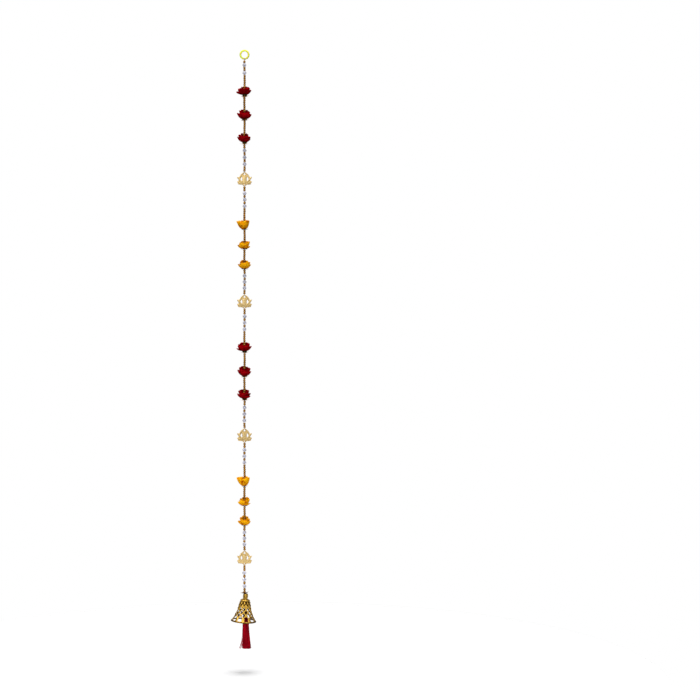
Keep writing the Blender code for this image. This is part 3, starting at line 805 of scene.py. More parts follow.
def petal_grid(petals, base, layer, rows=20, columns=17):
    """Petals as (petal, root to tip, side to side) grids.

    Each point starts on the middle line, moves round the axis by its distance across, and then along the
    line's normal by the push. Shortening the strip across its width cuts the tip round, with a notch."""
    share, climb, half_width, curl = LAYERS[layer]
    count = len(petals)
    turn = np.radians(petals[:, 0] + draw.uniform(-7, 7, count))[:, None, None]
    reach = (petals[:, 1] * share * draw.uniform(0.95, 1.05, count))[:, None, None]
    front = np.clip(-np.sin(np.radians(petals[:, 0])), 0, 1)
    rise = petals[:, 2] + (petals[:, 2].max() - petals[:, 2]) * climb * (1 - FRONT_DROP * front)
    rise = (rise * draw.uniform(0.94, 1.04, count))[:, None, None]
    s = np.linspace(-1, 1, columns)[None, None, :]
    notch = draw.uniform(0.0, 0.06, count)[:, None, None]
    length = 1 - 0.27 * np.abs(s) ** 2.6 - notch * np.exp(-((s / 0.25) ** 2))
    t = np.linspace(0, 1, rows)[None, :, None] * length
    radius, height = middle_line(t, reach, rise, curl)
    across = s * half_width * (0.16 + 0.84 * np.sin(np.pi / 2 * np.minimum(1, t / 0.62)) ** 1.2)
    slope = np.stack([np.gradient(radius, axis=1), np.gradient(height, axis=1)])
    normal = slope[::-1] * np.array([1, -1]).reshape(2, 1, 1, 1) / np.hypot(*slope)
    phase = draw.uniform(0, 2 * np.pi, (4, count))[:, :, None, None]
    push = 0.9 * petal_push(s, t, phase)
    radius = radius + push * normal[0]
    height = np.maximum(height + push * normal[1], 0.1)
    angle = turn + across / np.maximum(radius, 0.62 * half_width) + 0.08 * np.sin(phase[3]) * t
    points = np.stack([radius * np.cos(angle), radius * np.sin(angle), height], axis=-1) * MM
    return points + (0, 0, base), t + 0 * s


print("petal middle line ends at", np.round(middle_line(1.0, 10.0, 15.0, 0.5), 2))

# %% [markdown]
# The width and area of the flat cloth star that a layer was cut from are worked out from its grid, though
# nothing uses them. A finished layer says how it is held and what flat cloth it came from, so that a
# program that drapes cloth could make it again. Every layer is gathered on the thread and rests on the
# calyx under its flower. Its wall is as thick as thin cloth, with half of it on each side of the surface.
# The inner layer lies deep in the cup, so its petals are stored as lower and get more of the painted shade,
# which turns them out darker.

# %% Flowers
CLOTH = 0.25 * MM
LAYER_LIFT = 0.5 * MM
INNER_SHADE = 0.45


def flat_cut(grid):
    """(width, area) of the cloth star that a layer was cut from: width is twice its longest petal's middle
    line, and area sums half the length of the cross product of each quad's diagonals."""
    middle = grid[:, :, grid.shape[2] // 2]
    width = 2 * np.linalg.norm(np.diff(middle, axis=1), axis=-1).sum(axis=1).max()
    one = grid[:, 1:, 1:] - grid[:, :-1, :-1]
    two = grid[:, 1:, :-1] - grid[:, :-1, 1:]
    area = 0.5 * np.linalg.norm(np.cross(one, two), axis=-1).sum()
    return round(float(width), 3), round(float(min(area, width**2)), 7)


def petal_layer(band, place, kind, layer, finish):
    """One star of petals: the outer and the third layer point along the table's rows, the others between."""
    node = f"flower_{band}_{place}"
    tips = np.array(PETALS[kind, place], float)
    petals = tips if layer in ("outer", "third") else petals_between(tips)
    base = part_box(node)[0].z + (0.0 if layer == "outer" else LAYER_LIFT)
    grid, root_to_tip = petal_grid(petals, base, layer)
    cloth = grid_object(f"petals_{layer}_{band}_{place}", grid, size=(0.014, 0.012))
    # Painted shade by "height": darker towards the root, and the inner layer darker still.
    paint(cloth, "height", root_to_tip.ravel() ** 1.1 * (INNER_SHADE if layer == "inner" else 1.0))
    wall = cloth.modifiers.new("wall", "SOLIDIFY")
    wall.thickness = CLOTH
    wall.offset = 0.0
    dress(cloth, finish, [node] if layer == "outer" else [])
    width, area = flat_cut(grid)


for band in BANDS:
    kind, finish = ("red", red_finish) if band % 2 else ("orange", orange_finish)
    for place in FLOWERS:
        for layer in LAYERS:
            petal_layer(band, place, kind, layer, finish)
print("flowers:", len(BANDS) * len(FLOWERS), "layers each:", len(LAYERS))

# %% [markdown]
# ## Calyxes, sepals and caps
#
# A red flower sits on a small dark dome and a thin gold star. An orange flower sits on a star of dark
# sepals alone. The dome is a turned profile with low ribs. A star is one ring of points round the thread's
# hole: the reach swings between notch and tip five times round, and the tips bend up, each by its own
# amount.

# %% Domes and stars
def dome_grid(top, bottom, rows=12, columns=30):
    """A turned dome with ribs: radius falls from the wide top to the stem, closed down the thread's hole."""
    t = np.linspace(0, 1, rows)[:, None]
    turn = np.arange(columns)[None, :] * 2 * np.pi / columns
    ribs = 1 + 0.07 * np.cos(5 * turn) * np.cos(np.pi / 2 * t)
    radius = (1.5 + 2.6 * np.sqrt(np.clip(1 - t**2.2, 0, 1))) * ribs * MM
    hole = np.full((1, columns), 0.6 * MM)
    height = top + (bottom - top) * np.concatenate([t[:1], t, t[-1:]])
    return round_axis(np.concatenate([hole, radius, hole]), turn, height)


def star_grid(low, reach, lift, turn, sharp, thickness, rows=12, columns=90):
    """A star plate: radius runs from the hole to an edge that swings five times between notch and tip.

    The tips rise with the square of the radius. Top side and under side are one closed loop of rows."""
    hole = 0.7 * MM
    angle = np.arange(columns)[None, :] * 2 * np.pi / columns
    tip = (0.5 + 0.5 * np.cos(5 * angle)) ** sharp
    edge = reach * (0.36 + 0.64 * tip) * (1 + 0.12 * np.sin(angle * 2 + turn))
    t = np.linspace(0, 1, rows)[:, None]
    radius = hole + (edge - hole) * t
    bend = 1 + 0.7 * np.sin(angle + turn * 1.7)
    rise = low + lift * bend * (radius / reach) ** 2 - 0.25 * thickness * np.cos(5 * angle) * t
    under = rise + thickness * 0.8 * t**4
    height = np.concatenate([rise + thickness, under[::-1]])
    return round_axis(np.concatenate([radius, radius[::-1]]), angle + turn, height)


def star(name, node, finish, reach, lift, turn, sharp, thickness=0.35):
    """A star in place of a solid: reach, lift and thickness in mm, its turn in degrees."""
    grid = star_grid(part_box(node)[0].z, reach * MM, lift * MM, math.radians(turn), sharp, thickness * MM)
    plate = grid_object(name, grid, True, True)
    # The calyx cloth reads this as a fixed share of the painted root shade.
    paint(plate, "height", 0.6)
    dress(close_shells(plate), finish, [node])


def dome(name, node):
    low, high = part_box(node)
    grid = dome_grid(high.z + 0.7 * MM, low.z - 0.2 * MM)
    cloth = grid_object(name, grid, True, True, size=(0.004, 0.02))
    # A fixed share of the painted root shade for the whole dome.
    paint(cloth, "height", 0.4)
    dress(close_shells(cloth), calyx_finish, [node])


for band in BANDS:
    for place in FLOWERS:
        calyx = f"calyx_{band}_{place}"
        if band % 2:
            dome(f"dome_{band}_{place}", calyx)
            star(f"star_{band}_{place}", f"cap_{band}_{place}", gold_finish,
                 reach=6.8, lift=1.2, turn=180 + 20 * place, sharp=3.0)
        else:
            star(f"sepals_{band}_{place}", calyx, calyx_finish,
                 reach=6.2, lift=0.8, turn=180 + 36 * place, sharp=1.4)
print("domes and stars under", len(BANDS) * len(FLOWERS), "flowers")

# %% [markdown]
# ## Lotus plates
#
# Each lotus is stamped from thin sheet: a tall middle petal, two pairs of side petals that end in points,
# and a frame that rises to the eye at the top. The outline and the holes are the solids' own. Only the
# right half is listed, because the plate is the same on both sides. An edge between two corners bows out by
# a few tenths.

# %% Lotus outline
LOTUS_HALF = (
    # across, up, and the bow of the edge that follows, in mm
    (0, 24, 0.3), (4.4, 20.8, 0.5), (7.2, 17.8, 0.3), (8.4, 15.2, -0.2), (12.2, 15.6, 0.5),
    (10.2, 11.2, -0.1), (9.6, 9.3, -0.1), (12.2, 7.8, 0.4), (10.9, 5.4, 0.0), (10.7, 3.2, 0.3),
    (4.8, 2.6, -0.2), (2.9, 1.7, 0.3), (0, 0, 0.0),
)
TOP_HOLE = ((0, 22.4, 0), (2.0, 19.2, 0), (0, 18.7, 0))
SIDE_HOLE = ((4.3, 15.6, 0.3), (6.7, 12.3, 0.2), (5.9, 9.6, 0.2), (3.6, 9.0, 0.3), (4.3, 15.6, 0.0))
BOTTOM_HOLE = ((0, 3.4, 0), (1.1, 2.2, 0), (0, 1.1, 0))


def bowed(corners, steps=6):
    """Points along a chain of corners, each edge bowed outward by a parabola of the given height."""
    corners = np.array(corners, float)
    start, run = corners[:-1, :2], np.diff(corners[:, :2], axis=0)
    outward = unit(np.stack([-run[:, 1], run[:, 0]], axis=-1))
    t = (np.arange(steps) / steps)[None, :, None]
    bow = corners[:-1, 2][:, None, None] * 4 * t * (1 - t)
    points = start[:, None] + run[:, None] * t + outward[:, None] * bow
    return np.concatenate([points.reshape(-1, 2), corners[-1:, :2]])


def both_halves(corners):
    right = bowed(corners)
    return np.concatenate([right, right[-2:0:-1] * (-1, 1)])


side_hole = bowed(SIDE_HOLE)[:-1]
OUTLINES = [*(both_halves(half) for half in (LOTUS_HALF, TOP_HOLE, BOTTOM_HOLE)), side_hole,
            side_hole * (-1, 1)]
print("outline points:", [len(outline) for outline in OUTLINES])

# %% [markdown]
# The plate is made on a fine grid of points. The code measures each point's distance to the outline, moves
# the nearest points onto it, and keeps the cells inside. A point is on metal when a line from it to the
# right crosses the outlines an odd number of times.

# %% Nearest outline
def to_outline(points):
    """For each point: the nearest place on any outline, the distance to it, and whether it is on metal."""
    best = np.full(len(points), np.inf)
    nearest = np.zeros_like(points)
    crossings = np.zeros(len(points), int)
    rows = np.arange(len(points))
    level = points[:, None, 1]
    for outline in OUTLINES:
        after = np.roll(outline, -1, axis=0)
        run = after - outline
        t = np.clip(((points[:, None] - outline) * run).sum(-1) / (run**2).sum(-1), 0, 1)
        foot = outline + run * t[..., None]
        distance = np.linalg.norm(points[:, None] - foot, axis=-1)
        pick = distance.argmin(axis=1)
        closer = distance[rows, pick] < best
        best = np.where(closer, distance[rows, pick], best)
        nearest = np.where(closer[:, None], foot[rows, pick], nearest)
        rise = np.where(run[:, 1] == 0, 1e-12, run[:, 1])
        at = outline[:, 0] + (level - outline[:, 1]) * run[:, 0] / rise
        spans = (outline[:, 1] > level) != (after[:, 1] > level)
        crossings += (spans & (points[:, None, 0] < at)).sum(axis=1)
    return nearest, best, crossings % 2 == 1


print("the plate's middle is metal:", to_outline(np.array([[0.0, 10.0]]))[2])

# %% [markdown]
# ## The stamped relief
#
# The petals of the relief are pointed ovals, each round a straight middle line. A point's distance inside
# an oval's edge gives its crown there. The petals are laid from back to front, and each fades in over a
# third of a millimetre at its edge, as a die leaves it. A painted shade darkens the narrow grooves along
# those edges.

# %% Lotus relief
RELIEF_PETALS = (
    # foot across and up, tip across and up, half width, height of its edge, all in mm, from back to front
    (9.0, 12.6, 4.2, 21.2, 1.2, 0.12),
    (5.4, 19.2, 0.6, 23.6, 1.0, 0.12),
    (1.0, 2.2, 11.0, 3.6, 1.3, 0.1),
    (1.6, 3.6, 12.1, 7.8, 2.1, 0.2),
    (2.0, 5.0, 12.1, 15.5, 2.2, 0.3),
    (1.8, 8.0, 3.6, 19.8, 1.3, 0.22),
    (0.0, 3.2, 0.0, 19.4, 3.3, 0.5),
    (0.0, 0.4, 0.0, 4.8, 1.9, 0.3),
)
CROWN = 0.2
VEIN_DEPTH = 0.12
VEIN_WIDTH = 0.25
DIE_EDGE = 0.35
GROOVE_WIDTH = 0.17


def smooth_step(value):
    """0 up to 0, 1 from 1 on, and an S-shaped rise in between."""
    value = np.clip(value, 0, 1)
    return value * value * (3 - 2 * value)


def relief(points):
    """Height above the plate in mm, and how near each point is to a petal's groove, from 0 to 1."""
    height = np.zeros(len(points))
    groove = np.zeros(len(points))
    across = np.abs(points[:, 0])
    for foot_x, foot_z, tip_x, tip_z, half, step in RELIEF_PETALS:
        line = np.array([tip_x - foot_x, tip_z - foot_z])
        length = np.linalg.norm(line)
        line = line / length
        from_foot = np.stack([across - foot_x, points[:, 1] - foot_z], axis=-1)
        reach = (from_foot @ line) / length
        along = np.clip(reach, 0, 1)
        beside = np.abs(from_foot @ np.array([-line[1], line[0]]))
        width = half * np.sin(np.pi * along**0.8) ** 0.7
        inward = width - np.hypot(beside, np.abs(reach - along) * length)
        vein = VEIN_DEPTH * np.exp(-((beside / VEIN_WIDTH) ** 2)) * along
        inside = smooth_step(inward / DIE_EDGE)
        height = height * (1 - inside) + (step + CROWN * smooth_step(inward / half) - vein) * inside
        groove = np.maximum(groove * (1 - inside), np.exp(-((inward / GROOVE_WIDTH) ** 2)))
    return height, groove


print("relief at the middle petal:", np.round(relief(np.array([[0.0, 10.0]]))[0], 3))

# %% [markdown]
# One grid makes a closed plate: the front carries the relief, the back is flat, and walls join their rims.
# An edge of the grid that only one cell uses is a rim. The front is rounded down towards it, as a die bends
# the sheet, while the corner behind it stays sharp, as cut metal is.

# %% Lotus plates
PLATE_THICKNESS = 1.0
HALF_WIDTH = 12.9
FOOT_AND_TOP = (-0.4, 24.4)
ROUNDED_RIM = 0.45
RIM_DROP = 0.15
BACK_SHADE = 0.35
SHARP_ANGLE = math.radians(60)


def plate_cells(step):
    """Points on metal in mm, those near an outline moved onto it, and the corner numbers of the cells."""
    wide = np.arange(-HALF_WIDTH, HALF_WIDTH + step, step)
    tall = np.arange(FOOT_AND_TOP[0], FOOT_AND_TOP[1] + step, step)
    places = np.stack(np.meshgrid(wide, tall, indexing="xy"), axis=-1).reshape(-1, 2)
    nearest, distance, inside = to_outline(places)
    within = inside & (distance > 0.3 * step)
    snapped = np.where(within[:, None], places, nearest)
    index = np.arange(len(places)).reshape(len(tall), len(wide))
    cells = np.stack([index[:-1, :-1], index[:-1, 1:], index[1:, 1:], index[1:, :-1]], axis=-1).reshape(-1, 4)
    used, cells = np.unique(cells[within[cells].any(axis=1)], return_inverse=True)
    return snapped[used], cells.reshape(-1, 4)


def rim_walls(cells, count):
    """Quads between the front's rim and the back's, whose points come count places later."""
    edges = np.concatenate([cells[:, [i, (i + 1) % 4]] for i in range(4)])
    _, first, uses = np.unique(np.sort(edges, axis=1), axis=0, return_index=True, return_counts=True)
    start, end = edges[first[uses == 1]].T
    return np.stack([end, start, start + count, end + count], axis=-1)


def lotus_plate(name, node, flat, cells):
    """Front at half the thickness plus the relief, back at the other half, and the walls round every rim."""
    low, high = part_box(node)
    count = len(flat)
    rim = np.clip(1 - to_outline(flat)[1] / ROUNDED_RIM, 0, 1)
    height, groove = relief(flat)
    front = PLATE_THICKNESS / 2 + height * (1 - rim**2) - RIM_DROP * rim**2
    points = np.zeros((2 * count, 3))
    points[:, [0, 2]] = np.tile(flat, (2, 1)) * MM + ((low.x + high.x) / 2, low.z)
    points[:count, 1] = -front * MM
    points[count:, 1] = PLATE_THICKNESS / 2 * MM
    faces = np.concatenate([cells, cells[:, ::-1] + count, rim_walls(cells, count)])
    plate = mesh_object(name, points, faces)
    # The stored "edge" is painted shade: rounded rims and grooves, and BACK_SHADE over the whole back.
    paint(plate, "edge", np.concatenate([np.maximum(rim, groove), np.full(count, BACK_SHADE)]))
    dress(close_shells(plate, merge=0.03 * MM), plate_finish, [node])
    plate.data.set_sharp_from_angle(angle=SHARP_ANGLE)
    return plate


flat, cells = plate_cells(step=0.2)
plates = [lotus_plate(f"plate_{band}", f"lotus_{band}", flat, cells) for band in BANDS]
print("plates:", len(plates), "faces each:", len(plates[0].data.polygons))

# %% [markdown]
# A small loop of thread goes through each eye of the plate and back to the beads above or below it.

# %% Eye loops
EYE_THREAD = 0.32 * MM
EYE_TALL = 1.3 * MM
EYE_DEEP = 0.95 * MM


def eye_loop(name, height):
    """An oval of thread through an eye, in the plane across the plate: a circle carried round an oval."""
    turn = np.arange(40)[:, None] * 2 * np.pi / 40
    tilt = np.arange(10)[None, :] * 2 * np.pi / 10
    reach = 1 + EYE_THREAD * np.cos(tilt) / EYE_DEEP
    up = height + EYE_TALL * reach * np.sin(turn)
    grid = np.stack([EYE_THREAD * np.sin(tilt) + 0 * turn, EYE_DEEP * reach * np.cos(turn), up], axis=-1)
    dress(close_shells(grid_object(name, grid[None], True, True, size=(0.006, 0.002))), string_finish)


for band in BANDS:
    low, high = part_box(f"lotus_{band}")
    eye_loop(f"eye_top_{band}", high.z - 0.5 * MM)
    eye_loop(f"eye_foot_{band}", low.z + 0.4 * MM)
print("eye loops:", 2 * len(BANDS))

# %% [markdown]
# ## The bell
#
# The bell is cast openwork. Below the fluted neck and a raised ring its wall is closed, with raised
# leaf-shaped pads and dark hollows between them. Further down two families of ribs cross each other as
# diamonds with holes, and wide pillars carry the rim. All of it is laid in mm about the bell's own axis, as
# separate closed shapes on one profile. The bell leans on its thread, and the finished mesh is turned and
# moved there at the end.

# %% Bell profile and ribs
DIAMONDS = 10
HALF_DIAMOND = math.pi / DIAMONDS
BELL_DEPTHS = (0.0, 8.2, 9.8, 10.8, 15.3, 21.3, 27.2, 31.7, 37.7, 42.1, 46.0)
BELL_RADII = (4.05, 4.05, 7.1, 8.1, 9.6, 10.7, 11.7, 13.5, 16.1, 18.9, 21.5)
CROSSINGS = (10.8, 15.0, 19.6, 24.4, 29.4, 34.4, 39.0)
LEVELS = len(CROSSINGS) - 1
RIM_DEPTH = 44.9
WALL = 0.68
places_round = np.arange(DIAMONDS) * 2 * HALF_DIAMOND


def bell_place(depth, angle, outward=0.0):
    """Points on the bell's outer face, or outward of it: radius from the profile, turned by the angle."""
    radius = np.interp(depth, BELL_DEPTHS, BELL_RADII) + outward
    turn = angle + HALF_DIAMOND
    return np.stack([radius * np.cos(turn), radius * np.sin(turn), -depth + 0 * angle], axis=-1)


def tube_on_bell(depth, angle, half_width, sunk=0.0, sides=10):
    """Closed tubes along paths on the bell. Each section is an ellipse across the path: wide along the face,
    flat in depth. The first and last rows shrink almost to a point, and are filled after."""
    path = bell_place(depth, angle, -WALL - sunk)
    ends = np.ones(path.shape[1])
    ends[[0, -1]] = 0.02
    wide = (half_width * ends)[..., None] * circle(sides)[:, 0]
    deep = WALL * ends[:, None] * circle(sides)[:, 1] + 0 * wide
    return carried(path, np.stack([wide, deep], axis=-1), path * (1, 1, 0))


def rib_tubes(steps=8):
    """Both families of ribs: the angle moves half a diamond for each level of crossings, left or right.

    Above the holes the ribs are narrow and lie sunk between the pads."""
    level = np.linspace(0, LEVELS, LEVELS * steps + 1)
    lean = level * HALF_DIAMOND
    angle = np.concatenate([places_round[:, None] + lean, places_round[:, None] - lean])
    depth = np.interp(level, np.arange(LEVELS + 1), CROSSINGS) + 0 * angle
    width = np.interp(level, (0, 1.7, 2.6, LEVELS), (0.45, 0.5, 1.1, 1.0)) + 0.25 * np.cos(np.pi * level) ** 4
    sunk = np.interp(level, (0, 1.7, 2.4), (0.75, 0.7, 0.0))
    return tube_on_bell(depth, angle, width + 0 * angle, sunk)


def pillar_tubes(rows=12):
    """Wide pillars from the last crossings to the rim, wider at both ends."""
    depth = np.linspace(CROSSINGS[-1], RIM_DEPTH, rows) + np.zeros((DIAMONDS, 1))
    width = 2.7 + 0.5 * np.linspace(-1, 1, rows) ** 4 + 0 * depth
    return tube_on_bell(depth, places_round[:, None] + 0 * depth, width)


print("ribs:", rib_tubes().shape, "pillars:", pillar_tubes().shape)

# %% [markdown]
# The neck, the closed wall behind the pads and the rim are turned: a closed profile swept about the bell's
# axis. The flutes make the neck's radius swing eight times round, and fade out at both of its ends.

# %% Bell neck, wall and rim
NECK = (
    # depth, radius, both in mm: down the outside, then up the hole's wall
    (-0.4, 2.9), (-0.5, 3.3), (0.0, 3.8), (0.8, 3.6), (1.8, 3.9), (4.2, 4.05), (6.0, 3.9), (7.4, 3.6),
    (8.2, 4.0), (8.9, 5.4), (9.5, 6.8), (10.1, 7.8), (10.8, 8.3), (11.4, 8.0), (11.6, 7.0), (10.8, 6.4),
    (10.0, 5.4), (9.4, 4.0), (8.8, 2.9), (4.0, 2.9), (0.6, 2.9),
)
FLUTES = 8
FLUTE_DEPTH = 0.07
LINER_DEPTHS = np.array([10.6, 12.6, 15.3, 18.3, 21.3, 22.6])
LINER_SUNK = (1.1, 2.0)


def liner_profile():
    """The closed wall: down its outer side and up its inner side, each sunk below the bell's face."""
    radii = np.interp(LINER_DEPTHS, BELL_DEPTHS, BELL_RADII)
    outside, inside = (np.stack([LINER_DEPTHS, radii - sunk], axis=-1) for sunk in LINER_SUNK)
    return np.concatenate([outside, inside[::-1]])


def rim_profile():
    """A ring of 12 points, slanted so that the rim's lower side stands out as the wall's does."""
    out, down = circle(12).T
    return np.stack([RIM_DEPTH + 1.35 * down, 20.2 + 1.05 * out + 0.7 * down], axis=-1)


def turned(profile, columns=120, flutes=0.0):
    """A closed profile of (depth, radius) turned about the bell's axis, with flutes outside on the neck."""
    depth, radius = np.array(profile, float).T[..., None]
    turn = np.arange(columns)[None, :] * 2 * np.pi / columns
    on_neck = np.clip((7.4 - depth) / 0.8, 0, 1) * np.clip((depth - 0.4) / 0.8, 0, 1) * (radius > 3.2)
    radius = radius * (1 + flutes * on_neck * np.cos(FLUTES * turn))
    return round_axis(radius, turn, -depth)


print("points round the sections:", len(NECK), len(liner_profile()), len(rim_profile()))

# %% [markdown]
# The pads and pellets are flattened balls laid on the bell's face. A pad fills a diamond of the closed
# rows, and a pellet sits on each crossing of the open ones.

# %% Bell pads and pellets
def face_balls(depth, angle, half_width, half_height, half_depth, sunk, rows=11, columns=16):
    """Flattened balls on the bell's face: latitude and longitude about each place, stretched along it."""
    tilt = np.linspace(-np.pi / 2 + 0.02, np.pi / 2 - 0.02, rows)[None, :, None]
    turn = (np.arange(columns) * 2 * np.pi / columns)[None, None, :]
    depth, angle, wide, tall = (value[:, None, None] for value in (depth, angle, half_width, half_height))
    down = depth + tall * np.sin(tilt) + 0 * turn
    across = wide * np.cos(tilt) ** 1.2 * np.cos(turn)
    outward = half_depth * np.cos(tilt) * np.sin(turn) - sunk
    return bell_place(down, angle + across / np.interp(down, BELL_DEPTHS, BELL_RADII), outward)


def pads():
    """Leaf-shaped pads in the diamonds of the closed rows."""
    row = np.repeat([1, 2], DIAMONDS)
    level = np.repeat([0.9, 1.85], DIAMONDS)
    depth = np.interp(level, np.arange(LEVELS + 1), CROSSINGS)
    angle = np.tile(places_round, 2) + (row % 2 + 1) * HALF_DIAMOND
    return face_balls(depth, angle, 1.35 + 0.15 * row, 2.0 + 0.15 * row, half_depth=0.9, sunk=0.75)


def pellets():
    """A small ball on each crossing of the open rows."""
    level = np.repeat(np.arange(3, LEVELS + 1), DIAMONDS)
    angle = np.tile(places_round, LEVELS - 2) + (level % 2) * HALF_DIAMOND
    size = 0.95 + 0.05 * level
    return face_balls(np.array(CROSSINGS)[level], angle, size, size, half_depth=1.0, sunk=0.5)


print("pads:", len(pads()), "pellets:", len(pellets()))

# %% [markdown]
# ## Casting the bell
#
# Cast metal has no sharp inner corners. A voxel remesh melts the closed shapes into one skin, and a little
# smoothing softens every joint. Blender evaluates both modifiers once, and the mesh that comes out is kept.

# %% Cast bell
def joined(name, parts):
    """One object with all the parts' shells. The parts themselves are removed."""
    shell = bmesh.new()
    for part in parts:
        shell.from_mesh(part.data)
        bpy.data.objects.remove(part)
    mesh = bpy.data.meshes.new(name)
    shell.to_mesh(mesh)
    shell.free()
    obj = bpy.data.objects.new(name, mesh)
    bpy.context.scene.collection.objects.link(obj)
    return obj


def melt(obj, voxel):
    """Replaces the mesh by its voxel skin, smoothed a little, the way casting rounds every joint."""
    remesh = obj.modifiers.new("melt", "REMESH")
    remesh.mode = "VOXEL"
    remesh.voxel_size = voxel
    smooth = obj.modifiers.new("soften", "SMOOTH")
    smooth.factor = 0.5
    smooth.iterations = 2
    shown = obj.evaluated_get(bpy.context.evaluated_depsgraph_get())
    mesh = bpy.data.meshes.new_from_object(shown)
    obj.modifiers.clear()
    obj.data = mesh
    mesh.polygons.foreach_set("use_smooth", np.ones(len(mesh.polygons), bool))
    return obj


def bell_parts():
    """Every closed shape of the bell as an object of its own."""
    grids = {"ribs": rib_tubes(), "pillars": pillar_tubes(), "pads": pads(), "pellets": pellets()}
    parts = [grid_object(name, grid, wrap_columns=True) for name, grid in grids.items()]
    grids = {"neck": turned(NECK, columns=64, flutes=FLUTE_DEPTH), "liner": turned(liner_profile()),
             "rim": turned(rim_profile())}
    parts += [grid_object(name, grid, True, True) for name, grid in grids.items()]
    return [close_shells(part) for part in parts]


bell = melt(joined("bell_cast", bell_parts()), voxel=0.34)
print("bell faces:", len(bell.data.polygons))

# %% [markdown]
# The skin is read once more to find where the dark goes. The deeper a point lies under the bell's outer
# face, the darker its metal: patina in the recesses and painted shade together. The more a point looks away
# from that face, the darker too, and that is painted shade. So is the dark on the last millimetres above the
# rim's edge and in the grooves between the neck's flutes.

# %% Dark hollows and the bell's place
BELL_ASIDE = 2.0 * MM
BELL_LEAN = math.radians(4.6)
NECK_Z = (3.0 - 908.6) * MM


def hollows(mesh):
    """How dark each point's metal is, from 0 up: by its depth under the outer face and by where it looks."""
    points = points_of(mesh)
    across, deep, up = points.T
    around = np.hypot(across, deep)
    under_face = np.interp(-up, BELL_DEPTHS, BELL_RADII) - around
    normals = np.zeros(points.size, np.float32)
    mesh.vertex_normals.foreach_get("vector", normals)
    facing_out = (normals.reshape(-1, 3)[:, :2] * points[:, :2]).sum(axis=1) / np.maximum(around, 1e-6)
    turned_away = 1 - np.clip(facing_out, 0, 1)
    # Deep under the face: patina and painted shade together. Looking away from it: painted shade.
    hollow = 0.8 * turned_away**1.3 + 0.8 * np.clip((under_face - 0.25) / 0.8, 0, 1)
    # Painted shade on all inner faces and on the last millimetres above the rim's edge.
    near_rim = np.clip((-up - RIM_DEPTH + 1.6) / 1.4, 0, 1)
    hollow = np.where(facing_out < -0.3, 0.5, hollow) + 0.45 * near_rim
    # Painted shade on the neck: in the grooves between its flutes and on its sides that look away.
    flutes = 0.25 - 0.25 * np.cos(FLUTES * np.arctan2(deep, across))
    return np.where(up > -8.2, flutes + 0.3 * turned_away, hollow)


def hang_bell(mesh):
    """Leans the bell about its neck's top, its mouth to the left, and moves it from mm to its place."""
    lean = np.array([[math.cos(BELL_LEAN), 0, math.sin(BELL_LEAN)], [0, 1, 0],
                     [-math.sin(BELL_LEAN), 0, math.cos(BELL_LEAN)]])
    points = points_of(mesh) @ lean.T * MM + (BELL_ASIDE, 0, NECK_Z)
    mesh.vertices.foreach_set("co", points.astype(np.float32).ravel())
    mesh.update()


paint(bell, "hollow", hollows(bell.data))
hang_bell(bell.data)
dress(bell, bell_finish, ["bell"])
print("bell from", round(NECK_Z, 4), "down to", round(float(points_of(bell.data)[:, 2].min()), 4))

# %% [markdown]
# ## The bell's cap
#
# The cap on the neck is the same kind of star as under the flowers, but its points are bent up unevenly.

# %% Bell cap
star("star_bell", "cap_bell", dark_gold_finish,
     reach=7.0, lift=1.5, turn=188, sharp=0.7, thickness=0.6)

# %% [markdown]
# ## The tassel
#
# A tassel is a hank of thin silky threads, folded over the string and bound under the fold. The threads
# leave the binding evenly over a disc, like seeds in a sunflower head, so no two start in one place. Going
# down they spread a little, drift to one side, and each has its own slow bend and a fine crinkle. A few
# have come loose and stray out at the sides. Their ends are cut, not quite level.

# %% Tassel threads
TASSEL_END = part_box("tassel")[0].z
HEAD_TOP = NECK_Z - 27 * MM
HEAD_TALL = 8.0 * MM
HEAD_FOOT = HEAD_TOP - HEAD_TALL + 0.4 * MM
THREADS_TOP = HEAD_FOOT + 1.5 * MM
STRANDS = 380
STRAND_RADIUS = 0.27 * MM
SUNFLOWER_TURN = 2.39996
DRIFT = 0.04
DRIFT_START = NECK_Z - 2.3 * MM


def aside(height):
    """The tassel hangs a little to the right of the thread: by a fixed share of the way down the neck."""
    return DRIFT * (DRIFT_START - height)


def tassel_paths(rows=30):
    """Middle lines of the threads: a sunflower disc at the top, then spread, drift, bend and crinkle with t.

    The hank is 2.3 mm in radius where it is bound, 2.9 mm more just below, and 1.2 mm more at its end. A high
    power of a random number between -1 and 1 leaves nearly all threads in the hank and lets a few stray."""
    t = np.linspace(0, 1, rows)[None]
    place = np.arange(STRANDS)
    out = np.sqrt((place + 0.5) / STRANDS)[:, None]
    turn = (place * SUNFLOWER_TURN)[:, None]
    reach = out * (2.3 + 2.9 * (1 - np.exp(-t / 0.13)) + 1.2 * t**1.5 + 0.3 * t * np.sin(3 * turn + 5 * t))
    bend = draw.normal(0, 0.42, (2, STRANDS, 1)) * t**1.5
    phase = draw.uniform(0, 2 * np.pi, (4, STRANDS, 1))
    crinkle = 0.14 * np.sin(t * 62 * (1 + 0.1 * np.sin(phase[2])) + phase[:2]) * np.minimum(1, 6 * t)
    slow = 0.35 * np.sin(t * 7 + phase[2:]) * t
    loose = draw.uniform(-1, 1, (STRANDS, 1))
    stray = np.where(loose > 0, 7.5, -3.0) * np.abs(loose) ** 10 * t**4
    across = reach * np.cos(turn) + bend[0] + crinkle[0] + slow[0] - stray
    deep = reach * np.sin(turn) + bend[1] + crinkle[1] + slow[1]
    short = np.abs(draw.normal(0, 0.9, (STRANDS, 1)))
    height = THREADS_TOP - (THREADS_TOP - TASSEL_END - short * MM) * t
    return np.stack([across * MM + aside(height), deep * MM, height], axis=-1)


strands = carried(tassel_paths(), circle(5) * STRAND_RADIUS)
tassel = grid_object("tassel_threads", strands, wrap_columns=True, size=(1.0, 0.1))
print("tassel threads:", STRANDS)

